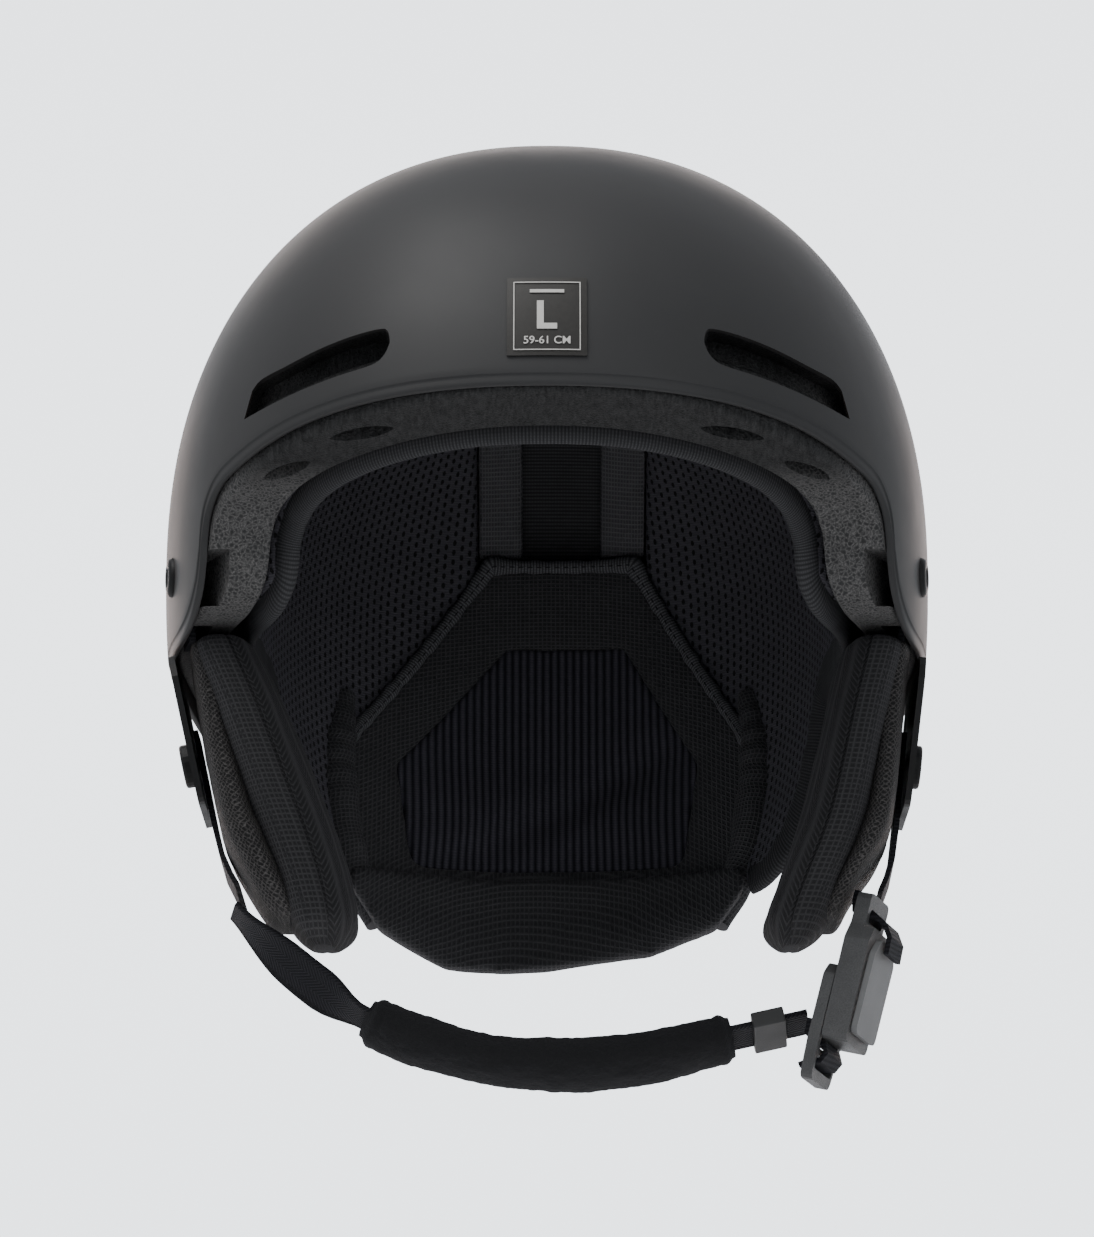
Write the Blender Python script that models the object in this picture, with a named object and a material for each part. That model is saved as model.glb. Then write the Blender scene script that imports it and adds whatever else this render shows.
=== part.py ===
"""A ski helmet: hard shell, foam liner, comfort liner, ear flaps and a buckled chin strap.

Millimetres throughout, turned into metres when a mesh is made. The origin is the centre of the
wearer's head at ear-hole level: +X to the wearer's left, +Y to the back of the head, +Z up.
"""

import math

import bmesh
import bpy
from mathutils import Matrix, Vector

MM = 0.001
DRAWN_WIDTH = 110.0  # the half width and half length that the outlines below are drawn for
DRAWN_LENGTH = 139.0
GAP = 0.35  # clearance between pieces that touch
SIDES = ((1, "left"), (-1, "right"))  # the wearer's left and right

# Hard shell
HALF_WIDTH = 110.0
HALF_LENGTH = 139.0
CROWN_RISE = 120.5  # from the widest level up to the crown
WIDEST_LEVEL = 37.5
SIDE_FALL = 150.0  # how far down the side walls would close
NAPE_FALL = 125.0
EGG = 0.05  # the back is this much wider than the front
PLAN_POWER = 2.2
RISE_POWER = 2.25
SHELL_WALL = 2.2
DOME_SEGMENTS = 40
DOME_RINGS = 20

# Foam liner, thickness at the sides, the ends and the crown
FOAM_SIDE = 14.0
FOAM_END = 19.5
FOAM_CROWN = 21.0
VENT_DEPTH = 11.0
POCKET_DEPTH = 6.5  # behind the strap anchors
BRIM_PORTS = [(51.0, -112.0, 17.0), (70.0, -94.0, 38.0)]  # X, Y and turn of each air port

# Comfort liner
LINER_STANDOFF = 2.4  # room for the hook-and-loop dots
LINER_PAD = 5.5
LINER_INSET = 5.8  # the liner stops this far inside the foam's edge
FLAP_PAD = 6.0
RIB_PAD = 4.0
ROLL_PAD = 10.0
LINER_SHIFT = 4.5  # the crown bands lie this far to one side
BAND_INNER = 12.0
BAND_WIDTH = 13.5
FLAP_TOP = 66.0
ROLL_TOP = -35.0
ROLL_BOTTOM = -65.5
BINDING_RADIUS = 2.2
TRIM_RADIUS = 1.5
DOT_RADIUS = 9.0

# Front vents and back vents: outlines seen square on, for the +X side
VENT_INNER_X = 42.5
VENT_OUTER_X = 84.5
VENT_TOP = 77.0
VENT_BOTTOM = 61.5
VENT_HEIGHT = 11.0
BACK_VENT_RAISE = 12.0

# Rivets and anchors
RIVET_RADIUS = 5.6
RIVET_HEAD = 1.6
RIVET_SINK = 1.0  # how deep its head sits in the shell
RIVET_STEM = 2.0
WASHER_RADIUS = 4.2
WASHER_WALL = 0.9
TAB_WIDTH = 14.0
FRONT_ANCHOR = (-36.0, 29.5, 9.5)  # Y and Z on the shell's side, and the strap tab's foot
REAR_ANCHOR = (64.0, 14.0, -4.0)

# Ear flaps. The plate's frame has X outwards, Y back and Z up from the hinge line.
HINGE = (107.0, 0.0, 7.6)
CANT = {"left": 6.0, "right": 12.0}  # how far each plate hangs inwards, degrees
PLATE_WALL = 1.8
PLATE_HEIGHT = 41.0
PLATE_FRONT = -44.0
PLATE_BACK = 34.0
WEB_WALL = 1.5
WEB_WIDTH = 15.0
SHORT_WEB_WIDTH = 12.0
EAR_RIVET_RADIUS = 6.3
EAR_RIVET_HEAD = 2.6
EAR_RIVET_AT = (2.0, -25.0)
LOOP_WIDTH = 18.0
# The pads seen from the front: level, outer and inner distance from the middle, backing thickness
EAR_PADS = {
    "left": [
        (12.6, 98.5, 85.0, 3.2), (8.0, 99.4, 82.5, 3.8), (-9.0, 97.0, 78.4, 3.6), (-34.0, 93.8, 72.2, 4.0),
        (-45.0, 90.6, 68.6, 4.2), (-56.0, 85.4, 64.4, 1.8), (-65.0, 81.0, 61.6, 1.5), (-71.5, 76.4, 63.0, 1.5),
    ],
    "right": [
        (12.6, 97.8, 84.5, 3.2), (8.0, 98.2, 80.8, 3.6), (-9.0, 94.2, 72.2, 4.2), (-34.0, 87.2, 61.9, 6.0),
        (-45.0, 82.6, 57.8, 7.6), (-56.0, 77.6, 55.0, 6.6), (-65.0, 74.0, 54.0, 5.0), (-71.5, 71.0, 56.0, 3.0),
    ],
}
# The pads seen from the side: front and back at each of those levels
EAR_SIDE = [(-48, 27), (-50, 32), (-51, 37), (-49, 37), (-46, 34), (-40, 28), (-32, 21), (-23, 13)]

# Chin strap, in the vertical plane through both strap exits
STRAP_Y = -12.0
STRAP_TILT = 17.0  # the webbing's front edge is turned up by this, degrees
CHIN_ROUTE = [
    (-88.5, -61.5), (-81, -69.5), (-66, -82.5), (-50, -93.0), (-26, -101.8), (1, -105.6),
    (28, -103.6), (47, -99.2), (56, -97.2), (65, -95.2), (71, -93.9),
]
PAD_SPAN = (-51.0, 52.0)
PAD_THICK = 13.5
PAD_WIDTH = WEB_WIDTH + 4.0
KEEPER_X = 62.5
KEEPER_LENGTH = 9.3
KEEPER_WALL = 1.1
KEEPER_PLAY = 0.5

# Buckle, in its own frame: X outwards, Y back, Z up along the strap
BUCKLE_AT = (84.0, -20.0, -83.5)
BUCKLE_LEAN = 14.5  # degrees, top outwards
BUCKLE_TURN = -20.0  # degrees, face turned to the front
BUCKLE_WIDTH = WEB_WIDTH + 7.0
BUCKLE_TOP = 16.0
BUCKLE_FOOT = -18.0
BUCKLE_WALL = 7.4
SLIDER_WALL = 3.4
SLIDER_TOP = 3.5
COVER_WALL = 1.7
BAR_SLOT = 3.8
LUG_HEIGHT = 0.8
LUG_LENGTH = 8.0
MAGNET_RADIUS = 4.2
MAGNET_WALL = 1.8
CATCH_LEVEL = -3.5  # level of the magnets and the locking lug
LADDER_SLOT = 4.0
LADDER_SLOTS = (-21.0, -26.8)

# Goggle strap retainer at the back
CLIP_HINGE = 58.0  # level of its hinge
CLIP_STUD = 14.0  # level of its press stud
CLIP_WIDTH = 24.0
CLIP_ROOM = 7.5  # what the goggle strap passes through
CLIP_BAND = 2.2
CLIP_PIN = 1.2
CLIP_BARREL = 2.9
PIN_PLAY = 0.1

LABEL_WIDTH = 21.4
LABEL_LEVELS = (66.3, 90.0)
LABEL_WALL = 0.5


def spread(x):
    """Moves a place outwards, or inwards, with the shell's width."""
    return x + (HALF_WIDTH - DRAWN_WIDTH) * max(-1.0, min(1.0, x / 50))


def stretch(y):
    """Moves a place forwards or back with the shell's length."""
    return y * HALF_LENGTH / DRAWN_LENGTH


def collection(name):
    made = bpy.data.collections.new(name)
    bpy.context.scene.collection.children.link(made)
    return made


def material(name, colour, roughness, metallic=0.0):
    made = bpy.data.materials.new(name)
    made.use_nodes = True
    shader = made.node_tree.nodes["Principled BSDF"]
    shader.inputs["Base Color"].default_value = (*colour, 1.0)
    shader.inputs["Roughness"].default_value = roughness
    shader.inputs["Metallic"].default_value = metallic
    return made


for leftover in list(bpy.data.objects):
    bpy.data.objects.remove(leftover)
HELMET = collection("ski_helmet")
CUTTERS = collection("cutters")
SHELL_BLACK = material("shell_black", (0.030, 0.030, 0.031), 0.42)
FOAM = material("foam_grey", (0.035, 0.034, 0.035), 0.85)
KNIT = material("black_knit", (0.012, 0.011, 0.012), 0.95)
WAFFLE = material("waffle_fabric", (0.016, 0.015, 0.016), 0.9)
MESH_CLOTH = material("spacer_mesh", (0.008, 0.007, 0.009), 0.9)
FLEECE = material("fleece", (0.007, 0.007, 0.007), 1.0)
WEBBING = material("webbing", (0.010, 0.010, 0.012), 0.8)
PLASTIC = material("black_plastic", (0.020, 0.020, 0.020), 0.45)
GREY_PLASTIC = material("grey_plastic", (0.18, 0.18, 0.18), 0.4)
STEEL = material("steel", (0.55, 0.55, 0.56), 0.3, 1.0)
LABEL = material("label_film", (0.11, 0.105, 0.10), 0.35)


def finish(name, bm, look, matrix=None, smooth_angle=35.0):
    """Turns bm, in millimetres, into a part, or into a cutter when look is None."""
    matrix = matrix or Matrix.Identity(4)
    bmesh.ops.recalc_face_normals(bm, faces=bm.faces)
    bm.transform(Matrix.Scale(MM, 4) @ matrix)
    if matrix.determinant() < 0:
        bmesh.ops.reverse_faces(bm, faces=bm.faces)
    mesh = bpy.data.meshes.new(name)
    bm.to_mesh(mesh)
    bm.free()
    made = bpy.data.objects.new(name, mesh)
    (HELMET if look else CUTTERS).objects.link(made)
    if look:
        mesh.materials.append(look)
        mesh.shade_smooth()
        mesh.set_sharp_from_angle(angle=math.radians(smooth_angle))
    else:
        made.hide_render = True
        made.display_type = "WIRE"
    return made


def boolean(target, cutter, operation="DIFFERENCE"):
    modifier = target.modifiers.new(operation.lower(), "BOOLEAN")
    modifier.operation = operation
    modifier.object = cutter
    return target


def spline(points, steps=4):
    """A smooth curve through the points (Catmull-Rom), with that many steps between two of them."""
    points = [Vector(p) for p in points]
    ends = [2 * points[0] - points[1], *points, 2 * points[-1] - points[-2]]
    curve = []
    for before, a, b, after in zip(ends, ends[1:], ends[2:], ends[3:]):
        for step in range(steps):
            t = step / steps
            curve.append(
                0.5 * (2 * a + (b - before) * t + (2 * before - 5 * a + 4 * b - after) * t**2
                       + (3 * a - before - 3 * b + after) * t**3)
            )
    return [*curve, points[-1]]


def rounded(corners, radius, steps=3):
    """The outline through these 2D corners, each rounded by an arc."""
    outline = []
    count = len(corners)
    for i, corner in enumerate(corners):
        corner = Vector(corner)
        to_last = (Vector(corners[i - 1]) - corner).normalized()
        to_next = (Vector(corners[(i + 1) % count]) - corner).normalized()
        half = to_last.angle(to_next) / 2
        reach = radius / math.tan(half)
        centre = corner + (to_last + to_next).normalized() * radius / math.sin(half)
        start = corner + to_last * reach - centre
        end = corner + to_next * reach - centre
        sweep = start.angle_signed(end)
        for step in range(steps + 1):
            turn = Matrix.Rotation(-sweep * step / steps, 2)
            outline.append(centre + turn @ start)
    return outline


def rectangle(low, high):
    (left, foot), (right, top) = low, high
    return [(left, foot), (right, foot), (right, top), (left, top)]


def prism(name, outline, low, high, look=None, plane="YZ", matrix=None):
    """A flat outline in the YZ, XZ or XY plane, made solid between two levels of the third axis."""
    place = {
        "YZ": lambda u, v, w: (w, u, v),
        "XZ": lambda u, v, w: (u, w, v),
        "XY": lambda u, v, w: (u, v, w),
    }[plane]
    bm = bmesh.new()
    face = bm.faces.new([bm.verts.new(place(u, v, low)) for u, v in outline])
    grown = bmesh.ops.extrude_face_region(bm, geom=[face])
    shift = Vector(place(0, 0, high - low))
    bmesh.ops.translate(bm, verts=[v for v in grown["geom"] if isinstance(v, bmesh.types.BMVert)], vec=shift)
    return finish(name, bm, look, matrix)


def block(name, low, high, look=None, matrix=None, round_by=0.0):
    """A box between two corners, its edges rounded."""
    low, high = Vector(low), Vector(high)
    bm = bmesh.new()
    bmesh.ops.create_cube(bm, size=1.0)
    bmesh.ops.scale(bm, vec=high - low, verts=bm.verts)
    bmesh.ops.translate(bm, vec=(low + high) / 2, verts=bm.verts)
    if round_by:
        bmesh.ops.bevel(bm, geom=bm.edges[:], offset=round_by, segments=2, profile=0.5, affect="EDGES")
    return finish(name, bm, look, matrix)


def disc(name, radius, low, high, look, matrix, sides=24, chamfer=0.0):
    """A round piece along its own Z, with a chamfered outer rim."""
    bm = bmesh.new()
    bmesh.ops.create_cone(
        bm, cap_ends=True, segments=sides, radius1=radius, radius2=radius, depth=high - low
    )
    bmesh.ops.translate(bm, vec=(0, 0, (low + high) / 2), verts=bm.verts)
    if chamfer:
        rim = [e for e in bm.edges if all(v.co.z > high - 1e-6 for v in e.verts)]
        bmesh.ops.bevel(bm, geom=rim, offset=chamfer, segments=2, profile=0.5, affect="EDGES")
    return finish(name, bm, look, matrix)


def layer(side=0.0, end=None, crown=None):
    """A dome surface that lies this far inside the shell's outer face."""
    end = side if end is None else end
    crown = side if crown is None else crown
    return (HALF_WIDTH - side, HALF_LENGTH - end, CROWN_RISE - crown)


def fall_at(back):
    """How far down the wall would close, from the side (0) to the back (1)."""
    return SIDE_FALL - (SIDE_FALL - NAPE_FALL) * max(0.0, back) ** 2


def dome_point(direction, surface):
    """Where a line from the dome's centre meets the surface."""
    wide, long, rise = surface
    x, y, z = direction
    flat = math.hypot(x, y)
    tall = rise if z >= 0 else fall_at(y / flat if flat else 0.0)
    plan = abs(x / wide) ** PLAN_POWER + abs(y / long) ** PLAN_POWER
    reach = (plan ** (RISE_POWER / PLAN_POWER) + abs(z / tall) ** RISE_POWER) ** (-1 / RISE_POWER)
    point = Vector(direction) * reach
    point.x *= 1 + EGG * point.y / HALF_LENGTH
    point.z += WIDEST_LEVEL
    return point


def half_width_at(y, z, surface):
    """How far the surface is from the middle plane at this place in the side view."""
    wide, long, rise = surface
    tall = rise if z >= WIDEST_LEVEL else fall_at(y / long)
    left = 1 - abs((z - WIDEST_LEVEL) / tall) ** RISE_POWER
    if left <= 0:
        return 0.0
    left = left ** (PLAN_POWER / RISE_POWER) - abs(y / long) ** PLAN_POWER
    return wide * max(left, 0.0) ** (1 / PLAN_POWER) * (1 + EGG * y / HALF_LENGTH)


def depth_at(x, z, surface, end=1):
    """The surface's Y at this place in the front view, at the back (1) or the front (-1)."""
    low, high = 0.0, surface[1]
    for _ in range(40):
        middle = (low + high) / 2
        if half_width_at(end * middle, z, surface) > abs(x):
            low = middle
        else:
            high = middle
    return end * low


def normal_at(y, z, surface, side=1):
    """The outward direction of the surface at a place in the side view."""
    step = 0.5
    across = half_width_at(y + step, z, surface) - half_width_at(y - step, z, surface)
    up = half_width_at(y, z + step, surface) - half_width_at(y, z - step, surface)
    return Vector((side, -across / (2 * step), -up / (2 * step))).normalized()


def dome(name, surface, look=None):
    bm = bmesh.new()
    bmesh.ops.create_uvsphere(bm, u_segments=DOME_SEGMENTS, v_segments=DOME_RINGS, radius=1.0)
    for vertex in bm.verts:
        vertex.co = dome_point(vertex.co.normalized(), surface)
    return finish(name, bm, look)


def facing(point, direction):
    """A frame at the point whose Z runs along the direction."""
    turn = Vector(direction).to_track_quat("Z", "Y").to_matrix().to_4x4()
    return Matrix.Translation(point) @ turn


def inset(edge, by):
    """A side-view edge moved into the helmet, square to itself."""
    moved = []
    for i, (y, z) in enumerate(edge):
        ahead, behind = edge[min(i + 1, len(edge) - 1)], edge[max(i - 1, 0)]
        along = Vector((ahead[0] - behind[0], ahead[1] - behind[1])).normalized()
        moved.append((y - along.y * by, z + along.x * by))
    return moved


def below(name, edge):
    """Everything under a smooth side-view edge, to cut the dome off there."""
    edge = [(stretch(y), z) for y, z in spline(edge)]
    return prism(name, [*edge, (edge[-1][0], -250), (edge[0][0], -250)], -200, 200)


SHELL_EDGE = [
    (-175, 60.5), (-138, 58.3), (-112, 54.2), (-91, 48.8), (-79, 45.0), (-72, 39.0), (-69, 32),
    (-67.5, 25), (-64, 18), (-56, 12), (-44, 9.2), (-28, 9.0), (0, 9.6), (32, 8.6), (58, 1),
    (82, -13), (106, -25), (128, -29), (175, -30),
]
FOAM_EDGE = [
    (-175, 62), (-136, 57.4), (-112, 50.4), (-92, 45.6), (-82, 42.4), (-75, 38), (-71, 32),
    (-69.5, 26), (-67, 20), (-60, 15.2), (-46, 13.2), (0, 13.6), (32, 12.6), (58, 5),
    (82, -9), (106, -21), (128, -25), (175, -26),
]
LINER_TAIL = [(34, 17), (41, 11), (44, -4), (48, -20), (56, -34), (68, -41), (175, -42)]
OUTER = layer()
SHELL_INNER = layer(SHELL_WALL)
FOAM_OUTER = layer(SHELL_WALL + GAP)
FOAM_INNER = layer(SHELL_WALL + FOAM_SIDE, SHELL_WALL + FOAM_END, SHELL_WALL + FOAM_CROWN)


def inside_foam(depth):
    """A surface this far inside the foam's inner face."""
    return tuple(size - depth for size in FOAM_INNER)


LINER_OUTER = inside_foam(LINER_STANDOFF)
LINER_INNER = inside_foam(LINER_STANDOFF + LINER_PAD)


def vent_outline(side, raise_by=0.0):
    """A swept slot, higher at its inner end, seen from the front."""
    corners = [
        (VENT_INNER_X, VENT_TOP), (VENT_OUTER_X - 5, VENT_TOP - 7), (VENT_OUTER_X, VENT_BOTTOM),
        (VENT_INNER_X + 1.5, VENT_TOP - VENT_HEIGHT),
    ]
    middle_top = ((VENT_INNER_X + VENT_OUTER_X) / 2, VENT_TOP - 1.4)
    corners.insert(1, middle_top)
    outline = rounded(corners, 1.6, 2)
    return [(side * spread(u), v + raise_by) for u, v in outline]


def shell_and_foam():
    under_shell = below("under_shell", SHELL_EDGE)
    under_foam = below("under_foam", FOAM_EDGE)
    shell = dome("outer_shell", OUTER, SHELL_BLACK)
    boolean(shell, dome("shell_hollow", SHELL_INNER))
    boolean(shell, under_shell)
    foam = dome("foam_liner", FOAM_OUTER, FOAM)
    boolean(foam, dome("foam_hollow", FOAM_INNER))
    boolean(foam, under_foam)
    vent_floor = dome("vent_floor", layer(SHELL_WALL + VENT_DEPTH))
    pocket_floor = dome("pocket_floor", layer(SHELL_WALL + POCKET_DEPTH))
    for side, tag in SIDES:
        for end, place, lift in ((-1, "front", 0.0), (1, "back", BACK_VENT_RAISE)):
            outline = vent_outline(side, lift)
            low, high = sorted((end * 60.0, end * 220.0))
            boolean(shell, prism(f"{place}_vent_{tag}", outline, low, high, plane="XZ"))
            pit = prism(f"{place}_vent_pit_{tag}", [(u, v - 0.5) for u, v in outline], low, high, plane="XZ")
            boolean(foam, boolean(pit, vent_floor))
        for place, (front, back, foot, top) in (
            ("front", (-90, -20, 5, FRONT_ANCHOR[1] + 7)),
            ("rear", (REAR_ANCHOR[0] - 13, REAR_ANCHOR[0] + 13, -20, REAR_ANCHOR[1] + 11)),
        ):
            outline = rectangle((stretch(front), foot), (stretch(back), top))
            low, high = sorted((side * 40.0, side * 180.0))
            pocket = prism(f"{place}_pocket_{tag}", outline, low, high)
            boolean(foam, boolean(pocket, pocket_floor))
        for number, (x, y, turn) in enumerate(BRIM_PORTS):
            at = Matrix.Translation((side * spread(x), stretch(y), 51)) @ Matrix.Rotation(math.radians(side * turn), 4, "Z")
            boolean(foam, block(f"brim_port_{number}_{tag}", (-8, -2.6, -9), (8, 2.6, 7), None, at, 2.2))
    return shell, foam


def anchors(shell):
    """The rivets that hold the strap tabs to the shell, with their washers."""
    for side, tag in SIDES:
        for place, (y, z, foot) in (("front", FRONT_ANCHOR), ("rear", REAR_ANCHOR)):
            y = stretch(y)
            at = Vector((side * half_width_at(y, z, OUTER), y, z))
            frame = facing(at, normal_at(y, z, OUTER, side))
            hole = disc(f"{place}_hole_{tag}", RIVET_STEM + GAP, -12, 12, None, frame, 12)
            boolean(shell, hole)
            sink = disc(f"{place}_sink_{tag}", RIVET_RADIUS + GAP, -RIVET_SINK, 12, None, frame, 20)
            boolean(shell, sink)
            head = disc(
                f"{place}_rivet_{tag}", RIVET_RADIUS, GAP - RIVET_SINK, GAP - RIVET_SINK + RIVET_HEAD,
                PLASTIC, frame, 20, 0.5,
            )
            seat = SHELL_WALL + 4 * GAP  # how far in the tab's outer face lies
            low = -seat - WEB_WALL - GAP - WASHER_WALL
            boolean(head, disc(f"{place}_stem_{tag}", RIVET_STEM, low - 0.3, 0.0, None, frame, 12), "UNION")
            washer = disc(f"{place}_washer_{tag}", WASHER_RADIUS, low, low + WASHER_WALL, STEEL, frame, 16)
            boolean(washer, hole)
            line = []
            for level in (z + 6.0, z, (z + foot) / 2, foot):
                wall = Vector((side * half_width_at(y, level, OUTER), y, level))
                line.append(wall - normal_at(y, level, OUTER, side) * (seat + WEB_WALL / 2))
            across = Vector((0, 0, 1)).cross(normal_at(y, z, OUTER, side))
            tab = ribbon(f"{place}_tab_{tag}", line, across, TAB_WIDTH, WEB_WALL, WEBBING)
            boolean(tab, hole)


def loft(name, rings, look, matrix=None):
    """A closed skin through rings of points, capped at both ends."""
    bm = bmesh.new()
    rings = [[bm.verts.new(point) for point in ring] for ring in rings]
    sides = len(rings[0])
    for a, b in zip(rings, rings[1:]):
        for k in range(sides):
            bm.faces.new((a[k], a[(k + 1) % sides], b[(k + 1) % sides], b[k]))
    bm.faces.new(rings[0][::-1])
    bm.faces.new(rings[-1])
    return finish(name, bm, look, matrix)


def ribbon(name, centres, across, width, thickness, look, matrix=None):
    """Flat webbing along the centres, its width along one direction."""
    rings = []
    for i, centre in enumerate(centres):
        along = (centres[min(i + 1, len(centres) - 1)] - centres[max(i - 1, 0)]).normalized()
        wide = (across - along * across.dot(along)).normalized() * width / 2
        up = along.cross(wide).normalized() * thickness / 2
        rings.append([centre + wide * u + up * v for u, v in ((-1, -1), (1, -1), (1, 1), (-1, 1))])
    return loft(name, rings, look, matrix)


def tube(name, centres, radius, look, sides=8):
    """A round cord or piping along the points."""
    curve = bpy.data.curves.new(name, "CURVE")
    curve.dimensions = "3D"
    curve.bevel_depth = radius * MM
    curve.bevel_resolution = sides // 4
    curve.use_fill_caps = True
    line = curve.splines.new("POLY")
    line.points.add(len(centres) - 1)
    for point, centre in zip(line.points, centres):
        point.co = (*(Vector(centre) * MM), 1.0)
    curve.materials.append(look)
    made = bpy.data.objects.new(name, curve)
    HELMET.objects.link(made)
    return made


def respaced(points, spacing):
    """The same line with points evenly spaced along it."""
    lengths = [0.0]
    for a, b in zip(points, points[1:]):
        lengths.append(lengths[-1] + (b - a).length)
    count = max(2, round(lengths[-1] / spacing))
    placed = []
    i = 0
    for k in range(count + 1):
        want = lengths[-1] * k / count
        while i < len(points) - 2 and lengths[i + 1] < want:
            i += 1
        span = lengths[i + 1] - lengths[i] or 1.0
        placed.append(points[i].lerp(points[i + 1], (want - lengths[i]) / span))
    return placed


def layer_piece(name, outer, inner, look, outline, plane, low, high):
    """The part between an outer dome surface and a hollow that lies inside a flat outline."""
    piece = dome(name, outer, look)
    boolean(piece, inner)
    boolean(piece, prism(f"{name}_bounds", outline, low, high, plane=plane), "INTERSECT")
    return piece


def flap_outline(grow=0.0):
    """The back flap seen from behind: narrow at the top, with slanting shoulders."""
    top_half, shoulder, foot = 22.0 + grow, 61.0 + grow, 57.0 + grow
    corners = [
        (LINER_SHIFT - top_half, FLAP_TOP + grow), (-shoulder, 6.0), (-shoulder, -8.0),
        (-foot, ROLL_TOP - grow), (foot, ROLL_TOP - grow), (shoulder, -8.0), (shoulder, 6.0),
        (LINER_SHIFT + top_half, FLAP_TOP + grow),
    ]
    return [(spread(x), z) for x, z in corners]


def roll_outline():
    """The neck roll seen from behind: its ends drop away into a shallow curve."""
    top, half = ROLL_TOP - GAP, spread(58.0)
    return [
        (-half, top), (-half, top - 6), (-half + 8, top - 18), (-30, ROLL_BOTTOM + 2.5), (0, ROLL_BOTTOM),
        (30, ROLL_BOTTOM + 2.0), (half - 8, top - 19), (half, top - 7), (half, top),
    ]


def rib_outline(grow=0.0):
    """The six-sided ribbed panel in the middle of the back flap."""
    top, middle, foot = 41.0 + grow, 2.0, ROLL_TOP + 4.0 - grow
    corners = [
        (LINER_SHIFT - 17 - grow, top), (-46 - grow, middle), (-41 - grow, foot),
        (41 + grow, foot), (46 + grow, middle), (LINER_SHIFT + 19 + grow, top),
    ]
    return [(spread(x), z) for x, z in corners]


def comfort_liner():
    hollow = dome("liner_hollow", inside_foam(LINER_STANDOFF + LINER_PAD))
    outer = inside_foam(LINER_STANDOFF)
    front_edge = [(y, z) for y, z in inset(FOAM_EDGE, LINER_INSET) if y < 10]
    under = below("under_liner", [*front_edge, *LINER_TAIL])
    flap_zone = prism("flap_zone", flap_outline(1.2), 20, 170, plane="XZ")
    half = spread(59.5)
    roll_zone = prism("roll_zone", rectangle((-half, -100), (half, -20)), 20, 170, plane="XZ")
    edge = BAND_INNER + BAND_WIDTH
    for side, tag in SIDES:
        low, high = sorted((LINER_SHIFT + side * (edge + GAP), side * 150.0))
        outline = rectangle((low, -150), (high, 150))
        panel = layer_piece(f"mesh_panel_{tag}", outer, hollow, MESH_CLOTH, outline, "XY", -75, 200)
        for cutter in (roll_zone, flap_zone, under):
            boolean(panel, cutter)
        low, high = sorted((LINER_SHIFT + side * BAND_INNER, LINER_SHIFT + side * edge))
        outline = rectangle((low, -150), (high, 150))
        band = layer_piece(f"crown_band_{tag}", outer, hollow, WAFFLE, outline, "XY", FLAP_TOP + 3, 200)
        boolean(band, under)
    flap_hollow = dome("flap_hollow", inside_foam(LINER_STANDOFF + FLAP_PAD))
    flap = layer_piece("back_flap", outer, flap_hollow, WAFFLE, flap_outline(), "XZ", 25, 170)
    boolean(flap, prism("rib_hole", rib_outline(GAP), 0, 200, plane="XZ"))
    rib_outer = inside_foam(LINER_STANDOFF + 0.8)
    rib_hollow = dome("rib_hollow", inside_foam(LINER_STANDOFF + 0.8 + RIB_PAD))
    layer_piece("rib_panel", rib_outer, rib_hollow, MESH_CLOTH, rib_outline(), "XZ", 25, 170)
    roll_hollow = dome("roll_hollow", inside_foam(LINER_STANDOFF + ROLL_PAD))
    layer_piece("neck_roll", outer, roll_hollow, WAFFLE, roll_outline(), "XZ", 25, 170)


def binding_and_trim():
    """Piping round the front opening, and along the top of the back flap."""
    surface = inside_foam(BINDING_RADIUS + 3 * GAP)
    half = []
    for y, z in spline([(stretch(y), z) for y, z in inset(FOAM_EDGE, BINDING_RADIUS)[1:9]], 24):
        x = half_width_at(y, z, surface)
        if x > 0:
            half.append(Vector((x, y, z)))
    front = Vector((0.0, depth_at(0.0, half[0].z, surface, -1), half[0].z))
    whole = [Vector((-p.x, p.y, p.z)) for p in reversed(half)] + [front] + half
    tube("brow_binding", respaced(whole, 9.0), BINDING_RADIUS, KNIT)
    surface = inside_foam(LINER_STANDOFF + FLAP_PAD + TRIM_RADIUS + 3 * GAP)
    outline = flap_outline()
    line = respaced([Vector(p) for p in (outline[1], outline[0], outline[-1], outline[-2])], 9.0)
    tube("liner_trim", [Vector((x, depth_at(x, z, surface), z)) for x, z in line], TRIM_RADIUS, KNIT)


def liner_dots():
    """Hook-and-loop dots that hold the comfort liner to the foam."""
    outer = inside_foam(GAP)
    hollow = dome("dot_hollow", inside_foam(LINER_STANDOFF - GAP))
    for side, tag in SIDES:
        for place, direction in (
            ("front", (0.55 * side, -0.75, 0.45)), ("crown", (0.5 * side, 0.1, 0.8)),
            ("rear", (0.62 * side, 0.72, 0.1)),
        ):
            at = dome_point(Vector(direction).normalized(), outer)
            dot = dome(f"liner_dot_{place}_{tag}", outer, KNIT)
            boolean(dot, hollow)
            bounds = disc(
                f"dot_bounds_{place}_{tag}", DOT_RADIUS, -12, 12, None,
                facing(at, at - Vector((0, 0, WIDEST_LEVEL))), 16,
            )
            boolean(dot, bounds, "INTERSECT")


def ear_frame(side, tag):
    """The ear plate's frame: the hinge line, leaning inwards, and mirrored for the wearer's right."""
    lean = Matrix.Rotation(math.radians(CANT[tag]), 4, "Y")
    x, y, z = HINGE
    return Matrix.Scale(side, 4, (1, 0, 0)) @ Matrix.Translation((spread(x), y, z)) @ lean


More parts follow.
